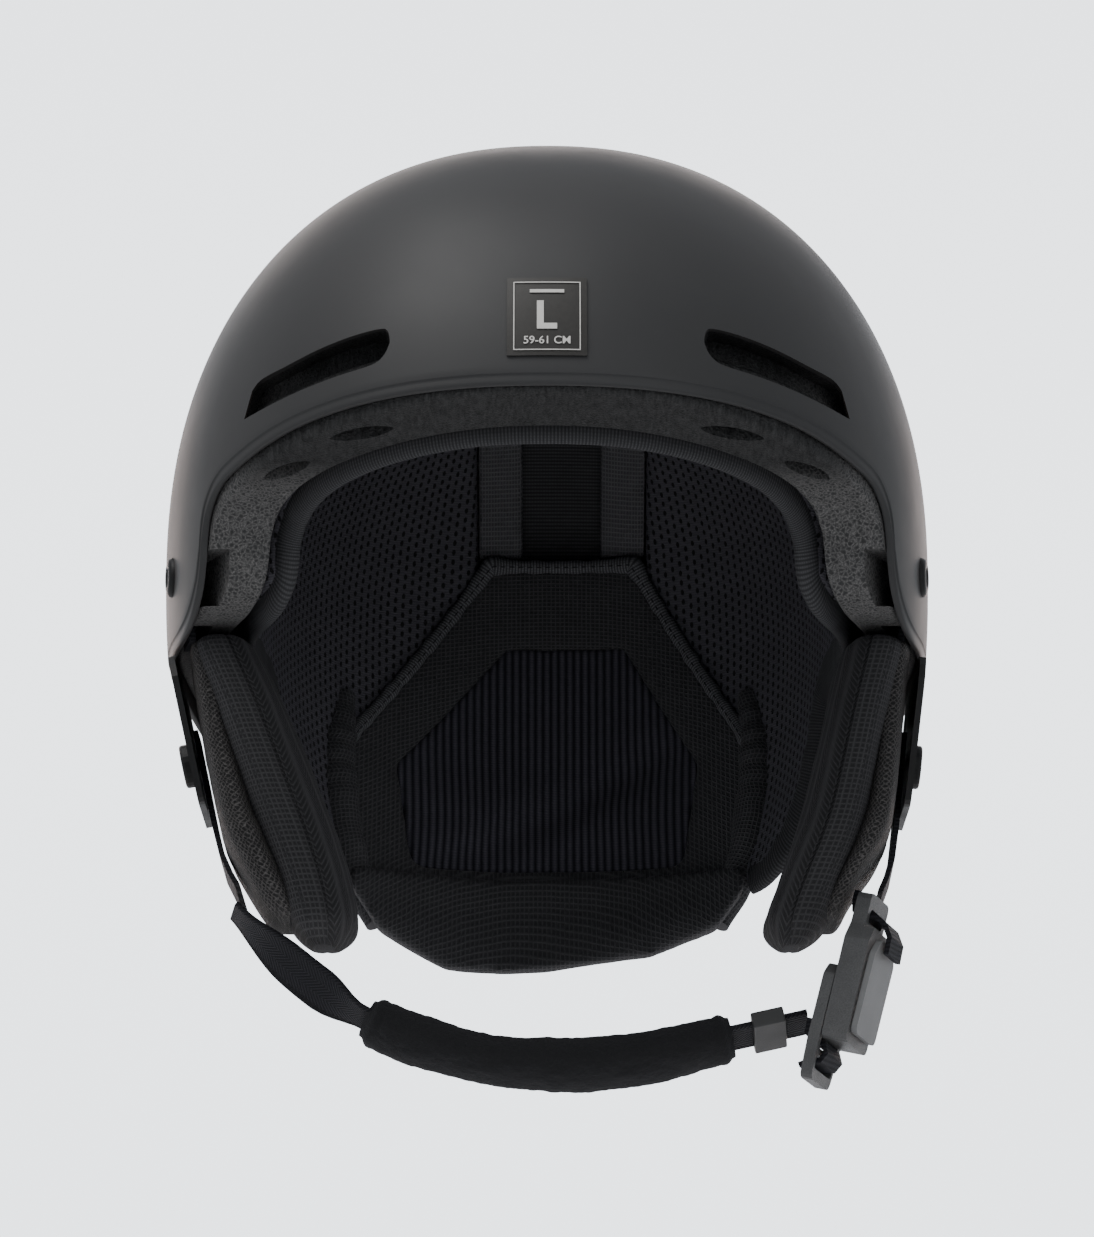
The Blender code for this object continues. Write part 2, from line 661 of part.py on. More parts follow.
def oval_ring(side, inner, outer, front, back, level, sides=20, power=3.2):
    """A rounded oblong in a level plane."""
    ring = []
    for k in range(sides):
        turn = 2 * math.pi * k / sides
        c, s = math.cos(turn), math.sin(turn)
        u = math.copysign(abs(c) ** (2 / power), c)
        v = math.copysign(abs(s) ** (2 / power), s)
        x = (inner + outer) / 2 + (outer - inner) / 2 * u
        ring.append(Vector((side * x, (front + back) / 2 + (back - front) / 2 * v, level)))
    return ring


def ear_pads(side, tag):
    """The cushion against the ear, and the knitted backing outside it."""
    cushion, backing = [], []
    last = len(EAR_SIDE) - 1
    for i, ((level, outer, inner, thick), (front, back)) in enumerate(zip(EAR_PADS[tag], EAR_SIDE)):
        outer, inner = spread(outer), spread(inner)
        cushion.append(oval_ring(side, inner, outer, front, back, level))
        if 0 < i < last:
            backing.append(
                oval_ring(side, outer + GAP, outer + GAP + thick, front + 3, back - 3, level, 16)
            )
    for rings in (cushion, backing):
        for end, step in ((0, 1), (-1, -2)):
            centre = sum(rings[end], Vector()) / len(rings[end])
            rings[end] = [centre.lerp(p, 0.86) for p in rings[end]]
    loft(f"ear_cushion_{tag}", cushion, WAFFLE)
    loft(f"ear_backing_{tag}", backing, KNIT)


def ear_flap(side, tag):
    frame = ear_frame(side, tag)
    corners = [
        (PLATE_FRONT, 0), (PLATE_BACK, 0), (PLATE_BACK - 12, -PLATE_HEIGHT), (PLATE_FRONT + 20, -PLATE_HEIGHT),
    ]
    cover = prism(f"ear_plate_{tag}", rounded(corners, 8.0, 4), -PLATE_WALL, 0, PLASTIC, "YZ", frame)
    y, z = EAR_RIVET_AT
    turn = frame @ Matrix.Translation((0, y, z)) @ Matrix.Rotation(math.pi / 2, 4, "Y")
    hole = disc(f"ear_hole_{tag}", RIVET_STEM + GAP, -9, 9, None, turn, 12)
    boolean(cover, hole)
    reach = -PLATE_WALL - GAP - WEB_WALL
    cap = disc(f"ear_rivet_{tag}", EAR_RIVET_RADIUS, GAP, GAP + EAR_RIVET_HEAD, PLASTIC, turn, 24, 0.8)
    boolean(cap, disc(f"ear_stem_{tag}", RIVET_STEM, reach, GAP + 1, None, turn, 12), "UNION")
    x = -PLATE_WALL - GAP - WEB_WALL / 2
    loop = [
        Vector((x, y, z + 8)), Vector((x, y, z - 4)), Vector((x, -1, -PLATE_HEIGHT)), Vector((x - 0.2, -4, -50)),
        Vector((x - 0.7, -7, -58)), Vector((x - 2.2, -9, -64.5)), Vector((x - 3.4, -10, -68)),
    ]
    band = ribbon(f"strap_loop_{tag}", loop, Vector((0, 1, -0.2)), LOOP_WIDTH, WEB_WALL, KNIT, frame)
    boolean(band, hole)
    ear_pads(side, tag)


def chin_line():
    """The chin webbing's centre line, in the vertical plane of the strap exits."""
    return [Vector((spread(x), STRAP_Y, z)) for x, z in spline(CHIN_ROUTE, 3)]


def across_chin():
    """The webbing's width direction: front to back, with its front edge turned up."""
    tilt = math.radians(STRAP_TILT)
    return Vector((0, math.cos(tilt), -math.sin(tilt)))


def strap_frame(x):
    """A frame on the chin webbing at this X: Z along it, Y across it."""
    line = chin_line()
    for a, b in zip(line, line[1:]):
        if a.x <= x <= b.x:
            break
    along = (b - a).normalized()
    up = across_chin().cross(along).normalized()
    turn = Matrix((up, along.cross(up), along)).transposed().to_4x4()
    return Matrix.Translation(a.lerp(b, (x - a.x) / (b.x - a.x))) @ turn


def chin_strap():
    ribbon("chin_webbing", chin_line(), across_chin(), WEB_WIDTH, WEB_WALL, WEBBING)
    start, end = (spread(x) for x in PAD_SPAN)
    steps, sides = 12, 14
    rings = []
    for k in range(steps + 1):
        shrink = 0.86 if k in (0, steps) else 1.0
        frame = strap_frame(start + (end - start) * k / steps)
        turns = [2 * math.pi * j / sides for j in range(sides)]
        rings.append([
            frame @ Vector((math.cos(t) * PAD_THICK / 2 * shrink, math.sin(t) * PAD_WIDTH / 2 * shrink, 0))
            for t in turns
        ])
    pad = loft("chin_pad", rings, FLEECE)
    room = 2 * GAP
    passage = ribbon("chin_passage", chin_line(), across_chin(), WEB_WIDTH + room, WEB_WALL + room, None)
    boolean(pad, passage)
    frame = strap_frame(spread(KEEPER_X))
    hole = Vector((WEB_WALL / 2 + KEEPER_PLAY, WEB_WIDTH / 2 + KEEPER_PLAY, KEEPER_LENGTH))
    outer = Vector((hole.x + KEEPER_WALL, hole.y + KEEPER_WALL, KEEPER_LENGTH / 2))
    keeper = block("strap_keeper", -outer, outer, GREY_PLASTIC, frame, 0.5)
    boolean(keeper, block("keeper_hole", -hole, hole, None, frame))


def buckle_frame():
    lean = Matrix.Rotation(math.radians(BUCKLE_LEAN), 4, "Y")
    turn = Matrix.Rotation(math.radians(BUCKLE_TURN), 4, "Z")
    x, y, z = BUCKLE_AT
    return Matrix.Translation((spread(x), y, z)) @ lean @ turn


def slot(name, target, frame, low, height, half):
    """A rounded slot right through a flat piece, for webbing."""
    outline = rounded(rectangle((-half, low), (half, low + height)), 1.2, 2)
    boolean(target, prism(name, outline, -20, 25, None, "YZ", frame))


def buckle():
    """A magnetic buckle: its housing hangs on the short strap, its slider on the chin strap."""
    frame = buckle_frame()
    catch = frame @ Matrix.Translation((0, 0, CATCH_LEVEL))
    outwards = catch @ Matrix.Rotation(math.pi / 2, 4, "Y")
    inwards = catch @ Matrix.Rotation(-math.pi / 2, 4, "Y")
    half, neck, flat = BUCKLE_WIDTH / 2, SHORT_WEB_WIDTH / 2 + 2.5, BUCKLE_WIDTH / 2 - 1.8
    outline = [
        (-half + 1, BUCKLE_FOOT), (half - 1, BUCKLE_FOOT), (half, BUCKLE_TOP - 5), (neck, BUCKLE_TOP),
        (neck, BUCKLE_TOP + 9), (-neck, BUCKLE_TOP + 9), (-neck, BUCKLE_TOP), (-half, BUCKLE_TOP - 5),
    ]
    housing = prism("buckle_housing", rounded(outline, 1.8, 2), 0, BUCKLE_WALL, PLASTIC, "YZ", frame)
    slot("bar_slot", housing, frame, BUCKLE_TOP + 1.0, BAR_SLOT, SHORT_WEB_WIDTH / 2 + GAP)
    relief = block("bracket_relief", (BUCKLE_WALL - 3.2, -30, BUCKLE_TOP - 1), (20, 30, 60), None, frame)
    boolean(housing, relief)
    groove = block(
        "lug_groove", (-5, -LUG_LENGTH / 2 - GAP, -LUG_LENGTH / 2 - GAP),
        (LUG_HEIGHT + GAP, 30, LUG_LENGTH / 2 + GAP), None, catch,
    )
    boolean(housing, groove)
    pit = BUCKLE_WALL - MAGNET_WALL - 2 * GAP
    boolean(housing, disc("housing_pit", MAGNET_RADIUS + GAP, pit, 30, None, outwards, 20))
    disc("housing_magnet", MAGNET_RADIUS, pit + GAP, BUCKLE_WALL - GAP, STEEL, outwards, 20)
    cover = rounded(
        [(-flat, BUCKLE_FOOT + 3), (flat, BUCKLE_FOOT + 3), (flat, 8), (6, 12.5), (-6, 12.5), (-flat, 8)], 2.0
    )
    face = BUCKLE_WALL + GAP
    prism("buckle_cover", cover, face, face + COVER_WALL, GREY_PLASTIC, "YZ", frame)

    wide = WEB_WIDTH / 2 + 2.5
    tail = rounded(
        [(-wide, 0), (-wide, -19), (-8.5, -30), (8.5, -30), (wide, -19), (wide, 0),
         (7, SLIDER_TOP), (-7, SLIDER_TOP)], 2.4,
    )
    slider = prism("buckle_slider", tail, -GAP - SLIDER_WALL, -GAP, PLASTIC, "YZ", frame)
    reach = LUG_LENGTH / 2
    lug = block("slider_lug", (-GAP - 1.0, -reach, -reach), (LUG_HEIGHT, reach, reach), None, catch, 0.4)
    boolean(slider, lug, "UNION")
    for low in LADDER_SLOTS:
        slot(f"ladder_slot_{-low:.0f}", slider, frame, low, LADDER_SLOT, WEB_WIDTH / 2 + GAP)
    deep = GAP + SLIDER_WALL
    boolean(slider, disc("slider_pit", MAGNET_RADIUS + GAP, deep - MAGNET_WALL - GAP, 20, None, inwards, 20))
    disc("slider_magnet", MAGNET_RADIUS, deep - MAGNET_WALL, deep, STEEL, inwards, 20)

    back = -GAP - SLIDER_WALL
    loop = [(back - 1.6, -13.0), (back - 1.6, -17.2), (back + 1.2, -19.0), (0.4, -19.6), (1.6, -21.9),
            (0.4, -24.2), (back + 1.2, -24.8), (back - 1.6, -26.6)]
    path = [Vector((x, 0, z)) for x, z in loop]
    ribbon("slider_webbing", path, Vector((0, 1, 0)), WEB_WIDTH - 1, WEB_WALL, WEBBING, frame)


def short_strap():
    """The webbing from the wearer's left ear flap down to the buckle's bar, its free end outside."""
    frame = buckle_frame()
    middle = BUCKLE_TOP + 1.0 + BAR_SLOT / 2
    deep = (BUCKLE_WALL - 3.2) / 2
    path = [
        Vector((-1.3, 0, middle + 6.5)), Vector((-1.4, 0, middle + 3.5)), Vector((-0.8, 0, middle + 0.8)),
        Vector((deep, 0, middle)), Vector((deep + 3.6, 0, middle)), Vector((deep + 6.8, 0, middle - 1.6)),
        Vector((BUCKLE_WALL + 3.8, 0, middle - 5)), Vector((BUCKLE_WALL + 4.0, 0, middle - 10)),
    ]
    ribbon("short_webbing", path, Vector((0, 1, 0)), SHORT_WEB_WIDTH, WEB_WALL, WEBBING, frame)


def goggle_clip():
    """The goggle strap's retainer at the back: a hinged band that snaps onto a stud."""
    half = CLIP_WIDTH / 2
    face = depth_at(0, CLIP_HINGE, OUTER)
    axis_y = face + GAP + CLIP_ROOM
    base = block("clip_base", (-half, face + GAP, CLIP_HINGE - 7), (half, face + GAP + 2.4, CLIP_HINGE + 9),
                 PLASTIC, None, 0.6)
    shell_back = dome("clip_seat", tuple(size + GAP for size in OUTER))
    sideways = Matrix.Translation((0, axis_y, CLIP_HINGE)) @ Matrix.Rotation(math.pi / 2, 4, "Y")
    for side, tag in SIDES:
        low, high = sorted((side * half, side * (half - 3)))
        lug = rounded(
            [(face + GAP + 1, CLIP_HINGE - 4), (axis_y + 3.4, CLIP_HINGE - 4), (axis_y + 3.4, CLIP_HINGE + 4),
             (face + GAP + 1, CLIP_HINGE + 4)], 1.5,
        )
        boolean(base, prism(f"clip_lug_{tag}", lug, low, high), "UNION")
    boolean(base, disc("clip_pin", CLIP_PIN, -half + 1, half - 1, None, sideways, 16), "UNION")
    boolean(base, shell_back)
    reach = half - 3 - GAP
    band = disc("clip_band", CLIP_BARREL, -reach, reach, KNIT, sideways, 20)
    stud_face = depth_at(0, CLIP_STUD, OUTER) + GAP
    strip_top = axis_y - CLIP_BAND / 2
    strip = prism(
        "clip_strip",
        [(strip_top, CLIP_HINGE), (strip_top + CLIP_BAND, CLIP_HINGE), (strip_top + CLIP_BAND, CLIP_STUD - 9),
         (strip_top, CLIP_STUD - 9)], -reach + 1, reach - 1,
    )
    boolean(band, strip, "UNION")
    boolean(band, disc("clip_bore", CLIP_PIN + PIN_PLAY, -half - 5, half + 5, None, sideways, 16))
    back = Matrix.Translation((0, 0, CLIP_STUD)) @ Matrix.Rotation(-math.pi / 2, 4, "X")
    stud = disc("clip_stud", 5.5, 110, strip_top - GAP, STEEL, back, 20, 0.4)
    boolean(stud, shell_back)
    disc("clip_button", 6.0, strip_top + CLIP_BAND + GAP, strip_top + CLIP_BAND + GAP + 1.6, PLASTIC, back, 20, 0.5)


def size_label():
    half = LABEL_WIDTH / 2
    low, high = LABEL_LEVELS
    outline = rounded(rectangle((-half, low), (half, high)), 1.0, 2)
    film = tuple(size + GAP + LABEL_WALL for size in OUTER)
    under = dome("label_back", tuple(size + GAP for size in OUTER))
    layer_piece("size_label", film, under, LABEL, outline, "XZ", -170, -60)


shell_body, foam_body = shell_and_foam()
anchors(shell_body)
comfort_liner()
binding_and_trim()
liner_dots()
for side_sign, side_name in SIDES:
    ear_flap(side_sign, side_name)
chin_strap()
buckle()
short_strap()
goggle_clip()
size_label()
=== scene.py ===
import math

import bmesh
import bpy
import numpy as np
from mathutils import Matrix, Vector, kdtree, noise


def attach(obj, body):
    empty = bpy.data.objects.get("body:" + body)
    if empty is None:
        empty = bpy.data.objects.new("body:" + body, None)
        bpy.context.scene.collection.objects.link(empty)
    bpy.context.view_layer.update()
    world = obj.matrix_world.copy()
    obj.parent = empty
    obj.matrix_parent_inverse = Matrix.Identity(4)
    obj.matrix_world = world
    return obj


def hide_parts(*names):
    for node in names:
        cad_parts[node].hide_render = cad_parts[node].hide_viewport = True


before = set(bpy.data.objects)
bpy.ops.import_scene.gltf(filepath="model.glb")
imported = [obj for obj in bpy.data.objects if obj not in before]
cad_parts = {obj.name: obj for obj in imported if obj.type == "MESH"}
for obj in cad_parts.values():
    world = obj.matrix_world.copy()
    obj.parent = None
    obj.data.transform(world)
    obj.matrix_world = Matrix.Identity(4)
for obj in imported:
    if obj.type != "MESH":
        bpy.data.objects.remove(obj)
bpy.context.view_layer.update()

MM = 0.001
SIDES = ((1, "left"), (-1, "right"))

# The helmet's dome, in millimetres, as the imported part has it
HALF_WIDTH = 110.0
HALF_LENGTH = 139.0
CROWN_RISE = 120.5
WIDEST_LEVEL = 37.5
SIDE_FALL = 150.0
NAPE_FALL = 125.0
EGG = 0.05
PLAN_POWER = 2.2
RISE_POWER = 2.25
SHELL_WALL = 2.2
GAP = 0.35
LIP_HEIGHT = 2.6
FOAM_SIDE = 14.0
FOAM_END = 19.5
FOAM_CROWN = 21.0
SHELL_EDGE = [
    (-175, 60.5), (-138, 58.3), (-112, 54.2), (-91, 48.8), (-79, 45.0), (-72, 39.0), (-69, 32),
    (-67.5, 25), (-64, 18), (-56, 12), (-44, 9.2), (-28, 9.0), (0, 9.6), (32, 8.6), (58, 1),
    (82, -13), (106, -25), (128, -29), (175, -30),
]
FOAM_EDGE = [
    (-175, 62), (-136, 57.4), (-112, 50.4), (-92, 45.6), (-82, 42.4), (-75, 38), (-71, 32),
    (-69.5, 26), (-67, 20), (-60, 15.2), (-46, 13.2), (0, 13.6), (32, 12.6), (58, 5),
    (82, -9), (106, -21), (128, -25), (175, -26),
]
LINER_TAIL = [(34, 17), (41, 11), (44, -4), (48, -20), (56, -34), (68, -41)]

# Comfort liner
LINER_STANDOFF = 2.4
LINER_PAD = 5.5
LINER_INSET = 5.8
LINER_SHIFT = 4.5
FLAP_PAD = 6.0
FLAP_TOP = 66.0
ROLL_TOP = -35.0
BAND_INNER = 12.0
BORDER_HALF = 8.5

# Straps
WEB_WIDTH = 15.0
WEB_WALL = 1.5
STRAP_Y = -12.0
STRAP_TILT = 17.0
CHIN_ROUTE = [
    (-88.5, -61.5), (-81, -69.5), (-66, -82.5), (-50, -93.0), (-26, -101.8), (1, -105.6),
    (28, -103.6), (47, -99.2), (56, -97.2), (65, -95.2), (71, -93.9),
]
PAD_SPAN = (-51.0, 52.0)
PAD_THICK = 13.5
PAD_WIDTH = 19.0
STRAP_END = (73.4, STRAP_Y, -93.3)

# Front vent in the front view, from its inner end outwards: upper edge and lower edge
VENT_UPPER = [
    (42.2, 73.4), (42.7, 76.4), (44.6, 77.6), (52.1, 76.9), (61.0, 75.2), (70.7, 72.7),
    (78.2, 71.1), (80.8, 68.8),
]
VENT_LOWER = [
    (42.3, 72.8), (43.3, 70.2), (45.2, 68.0), (48.3, 66.8), (57.6, 65.4), (66.0, 64.0),
    (75.0, 62.3), (83.0, 60.9),
]
REAR_VENT_LIFT = 12.0

# Ports in the brim: name, place in plan, turn in degrees, length and width
PORTS = (("inner_port", (50.0, -113.5), 17, 18.0, 5.6), ("outer_port", (71.0, -93.5), 38, 16.0, 5.6))
# Pockets in the foam, in the side view: name, front, back, foot, top, and how deep
POCKETS = (
    ("front_pocket", -46, -22, -5, 36.5, 6.5), ("anchor_notch", -95, -40, 15.5, 29.5, 2.6),
    ("rear_pocket", 51, 77, -20, 25, 6.5),
)
RIVET_PLACES = (("front", -36.0, 29.5), ("rear", 64.0, 14.0))
RIVET_RADIUS = 5.6
RIVET_HEAD = 1.5

# Size label on the shell's front, in the front view
LABEL_LOW, LABEL_HIGH = (-10.7, 66.3), (10.7, 90.0)
FRAME_LOW, FRAME_HIGH = (-9.0, 67.8), (9.0, 88.6)
FRAME_LINE = 0.28
WORD_BAR = ((-4.6, 85.2), (4.6, 86.2))
LABEL_TOP = GAP + 0.5
INK_WALL = 0.06

# Studio, in metres and degrees
LENS, SENSOR, LENS_RISE, LENS_DISTANCE, LENS_AIM, CLIP_END = 161.3, 36.0, 13.0, 1.6, (0.0, 0.0, 0.026), 200.0
FLOOR_HALF, FLOOR_LEVEL = 40.0, -0.8
ROOM_STRENGTH = 1.0
BACKDROP_STRENGTH = 3.9
BACKDROP_FROM, BACKDROP_TO = 0.80, 0.94
SKY = (
    (0.0, (0.70, 0.74, 0.78)), (0.56, (0.70, 0.74, 0.78)), (0.61, (0.73, 0.765, 0.80)),
    (0.68, (0.665, 0.69, 0.73)), (1.0, (0.62, 0.65, 0.70)),
)
LAMPS = (
    ("key", (-0.75, -0.8, 1.8), (0, 0, 0.08), (1.6, 1.6), 56.0, (1.0, 0.99, 0.98)),
    ("fill", (0.8, -1.6, 0.3), (0, 0, 0.0), (1.0, 1.0), 7.0, (0.97, 0.98, 1.0)),
    ("rim_top", (-0.2, 2.4, 1.6), (0, 0, 0.1), (1.8, 0.6), 14.0, (1.0, 0.86, 0.80)),
    ("rim_left", (-0.95, 2.4, 0.3), (0, 0, 0.05), (0.4, 1.2), 6.0, (1.0, 0.66, 0.52)),
    ("rim_right", (0.95, 2.4, 0.3), (0, 0, 0.05), (0.4, 1.2), 5.0, (1.0, 0.66, 0.52)),
)


# ---------------------------------------------------------------- geometry of the dome

def layer(side=0.0, end=None, crown=None):
    """A dome surface this far inside the shell's outer face: its half width, half length and rise."""
    end = side if end is None else end
    crown = side if crown is None else crown
    return HALF_WIDTH - side, HALF_LENGTH - end, CROWN_RISE - crown


def inside_foam(depth):
    """A surface this far inside the foam's inner face."""
    return layer(*(SHELL_WALL + foam + depth for foam in (FOAM_SIDE, FOAM_END, FOAM_CROWN)))


OUTER = layer()


def fall_at(back):
    """How far below its widest level the dome would close, at this share of the way to the back."""
    return SIDE_FALL - (SIDE_FALL - NAPE_FALL) * np.clip(back, 0, None) ** 2


def on_dome(azimuth, rise, surface):
    """Points where lines at these azimuths and elevations from the dome's centre meet the surface."""
    wide, long, tall = surface
    azimuth, rise = np.broadcast_arrays(azimuth, rise)
    x, y, z = np.cos(azimuth) * np.cos(rise), np.sin(azimuth) * np.cos(rise), np.sin(rise)
    tall = np.where(z >= 0, tall, fall_at(np.sin(azimuth)))
    plan = np.abs(x / wide) ** PLAN_POWER + np.abs(y / long) ** PLAN_POWER
    reach = (plan ** (RISE_POWER / PLAN_POWER) + np.abs(z / tall) ** RISE_POWER) ** (-1 / RISE_POWER)
    x, y, z = x * reach, y * reach, z * reach
    return np.stack([x * (1 + EGG * y / HALF_LENGTH), y, z + WIDEST_LEVEL], -1)


def half_width(y, z, surface):
    wide, long, rise = surface
    y, z = np.broadcast_arrays(np.asarray(y, float), np.asarray(z, float))
    tall = np.where(z >= WIDEST_LEVEL, rise, fall_at(y / long))
    left = np.clip(1 - np.abs((z - WIDEST_LEVEL) / tall) ** RISE_POWER, 0, None)
    left = np.clip(left ** (PLAN_POWER / RISE_POWER) - np.abs(y / long) ** PLAN_POWER, 0, None)
    return wide * left ** (1 / PLAN_POWER) * (1 + EGG * y / HALF_LENGTH)


def depth_at(x, z, surface, end=1):
    """The surface's Y at these places of the front view, at the back (1) or the front (-1)."""
    x, z = np.broadcast_arrays(np.abs(np.asarray(x, float)), np.asarray(z, float))
    low, high = np.zeros(x.shape), np.full(x.shape, surface[1])
    for _ in range(36):
        middle = (low + high) / 2
        inside = half_width(end * middle, z, surface) > x
        low, high = np.where(inside, middle, low), np.where(inside, high, middle)
    return end * low


def outward(points):
    """The dome's outward normal at points near it, from its level function."""
    def level(p):
        y = p[..., 1]
        x = p[..., 0] / (1 + EGG * y / HALF_LENGTH)
        z = p[..., 2] - WIDEST_LEVEL
        tall = np.where(z >= 0, CROWN_RISE, fall_at(y / HALF_LENGTH))
        plan = np.abs(x / HALF_WIDTH) ** PLAN_POWER + np.abs(y / HALF_LENGTH) ** PLAN_POWER
        return plan ** (RISE_POWER / PLAN_POWER) + np.abs(z / tall) ** RISE_POWER

    step = 0.05
    slope = np.stack([level(points + d) - level(points - d) for d in np.eye(3) * step], -1)
    return slope / np.linalg.norm(slope, axis=-1, keepdims=True)


def spline(points, steps=8):
    """A smooth curve through the points (Catmull-Rom)."""
    p = np.asarray(points, float)
    p = np.vstack([2 * p[0] - p[1], p, 2 * p[-1] - p[-2]])
    t = np.linspace(0, 1, steps, endpoint=False)[:, None]
    runs = [
        0.5 * (2 * b + (c - a) * t + (2 * a - 5 * b + 4 * c - d) * t**2 + (3 * b - a - 3 * c + d) * t**3)
        for a, b, c, d in zip(p, p[1:], p[2:], p[3:])
    ]
    return np.vstack([*runs, p[-2:-1]])


def run_along(path):
    """The distance along a line at each of its points."""
    return np.concatenate([[0], np.cumsum(np.linalg.norm(np.diff(path, axis=0), axis=1))])


def evenly(path, count, reach=None):
    """This many points evenly spaced along a line. Only its first `reach` columns count as position."""
    run = run_along(path[:, :reach])
    at = np.linspace(0, run[-1], count)
    return np.stack([np.interp(at, run, path[:, k]) for k in range(path.shape[1])], -1)


def respaced(path, spacing, reach=None):
    """The same line with its points about this far apart."""
    path = np.asarray(path, float)
    return evenly(path, max(3, int(round(run_along(path[:, :reach])[-1] / spacing)) + 1), reach)


def inset(edge, by):
    """A side-view edge moved into the helmet, square to itself."""
    edge = np.asarray(edge, float)
    along = np.gradient(edge, axis=0)
    along /= np.linalg.norm(along, axis=1, keepdims=True)
    return edge + by * np.stack([-along[:, 1], along[:, 0]], -1)


def smoothstep(low, high, value):
    t = np.clip((value - low) / (high - low), 0, 1)
    return t * t * (3 - 2 * t)


def bell(value, width):
    return np.exp(-((value / width) ** 2))


def ripple(points, size, seed=0.0):
    """Smooth noise from -1 to 1 at points in millimetres, with bumps of about this size."""
    return np.array([noise.noise(Vector(p) / size + Vector((seed, seed, seed))) for p in points]) * 1.6


# ---------------------------------------------------------------- meshes

def added(name, data):
    """A new object in the scene."""
    obj = bpy.data.objects.new(name, data)
    bpy.context.scene.collection.objects.link(obj)
    return obj


def made_mesh(name, points, faces, look, sharp=40.0):
    """An object from points in millimetres."""
    mesh = bpy.data.meshes.new(name)
    mesh.from_pydata((np.asarray(points) * MM).tolist(), [], faces)
    mesh.validate()
    bm = bmesh.new()
    bm.from_mesh(mesh)
    bmesh.ops.recalc_face_normals(bm, faces=bm.faces)
    bm.to_mesh(mesh)
    bm.free()
    mesh.shade_smooth()
    mesh.set_sharp_from_angle(angle=math.radians(sharp))
    if look:
        mesh.materials.append(look)
    return added(name, mesh)


def quads(rows, cols, wrap=True, start=0):
    """Faces of a lattice of points, its columns closed into rings when wrap is set."""
    last = cols if wrap else cols - 1
    return [
        (start + r * cols + c, start + r * cols + (c + 1) % cols,
         start + (r + 1) * cols + (c + 1) % cols, start + (r + 1) * cols + c)
        for r in range(rows - 1) for c in range(last)
    ]


def loft(name, rings, look, sharp=50.0, weave=None):
    """A closed body through rings of equal count, its ends closed by fans."""
    rings = np.asarray(rings, float)
    rows, cols = rings.shape[:2]
    points = np.vstack([rings.reshape(-1, 3), rings[0].mean(0), rings[-1].mean(0)])
    faces = quads(rows, cols)
    top, tail = rows * cols, rows * cols + 1
    faces += [(top, (c + 1) % cols, c) for c in range(cols)]
    base = (rows - 1) * cols
    faces += [(tail, base + c, base + (c + 1) % cols) for c in range(cols)]
    made = made_mesh(name, points, faces, look, sharp)
    if weave is not None:
        flat = np.asarray(weave, float).reshape(-1, 2)
        set_weave(made, np.vstack([flat, flat[:cols].mean(0), flat[-cols:].mean(0)]))
    return made


def sheet(name, sides, look):
    """A closed thin body between two grids of points."""
    rows, cols = sides[0].shape[:2]
    points = np.vstack([side.reshape(-1, 3) for side in sides])
    faces = quads(rows, cols, False) + [tuple(reversed(f)) for f in quads(rows, cols, False, rows * cols)]
    rim = [*range(cols), *(r * cols + cols - 1 for r in range(1, rows)),
           *((rows - 1) * cols + c for c in reversed(range(cols - 1))),
           *(r * cols for r in reversed(range(1, rows - 1)))]
    faces += [(a, b, b + rows * cols, a + rows * cols) for a, b in zip(rim, [*rim[1:], rim[0]])]
    return made_mesh(name, points, faces, look)


def set_weave(obj, coords):
    """Stores cloth coordinates in millimetres on the points, for the weave patterns."""
    flat = np.zeros((len(obj.data.vertices), 3), np.float32)
    flat[:, : coords.shape[1]] = coords
    attribute = obj.data.attributes.new("weave", "FLOAT_VECTOR", "POINT")
    attribute.data.foreach_set("vector", flat.ravel())


def read_points(obj, what):
    flat = np.zeros(len(obj.data.vertices) * 3, np.float32)
    obj.data.vertices.foreach_get(what, flat)
    return flat.reshape(-1, 3).astype(float)


def points_of(obj):
    return read_points(obj, "co") / MM


def normals_of(obj):
    return read_points(obj, "normal")


def move_points(obj, points):
    obj.data.vertices.foreach_set("co", (np.asarray(points) * MM).astype(np.float32).ravel())
    obj.data.update()


def applied(obj):
    """Replaces the object's mesh by what its modifiers make of it."""
    bpy.context.view_layer.update()
    graph = bpy.context.evaluated_depsgraph_get()
    made = bpy.data.meshes.new_from_object(obj.evaluated_get(graph))
    obj.modifiers.clear()
    obj.data = made


def soft_copy(name, nodes, voxel, look, rounds=4, thicker=0.0):
    """A fine copy of plain CAD pads, grown together, with their corners rounded off."""
    bm = bmesh.new()
    for node in nodes:
        bm.from_mesh(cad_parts[node].data)
    if thicker:
        bm.normal_update()
        for vertex in bm.verts:
            vertex.co += vertex.normal * thicker * MM
    mesh = bpy.data.meshes.new(name)
    bm.to_mesh(mesh)
    bm.free()
    obj = added(name, mesh)
    remesh = obj.modifiers.new("remesh", "REMESH")
    remesh.mode = "VOXEL"
    remesh.voxel_size = voxel * MM
    relax = obj.modifiers.new("relax", "SMOOTH")
    relax.factor = 0.5
    relax.iterations = rounds
    applied(obj)
    obj.data.materials.clear()
    obj.data.materials.append(look)
    obj.data.shade_smooth()
    return obj


def frames_along(path, across):
    """Unit vectors along, across and square to a path."""
    path = np.asarray(path, float)
    along = np.gradient(path, axis=0)
    along /= np.linalg.norm(along, axis=1, keepdims=True)
    across = np.broadcast_to(np.asarray(across, float), path.shape)
    across = across - along * (along * across).sum(1, keepdims=True)
    across = across / np.linalg.norm(across, axis=1, keepdims=True)
    return along, across, np.cross(along, across)


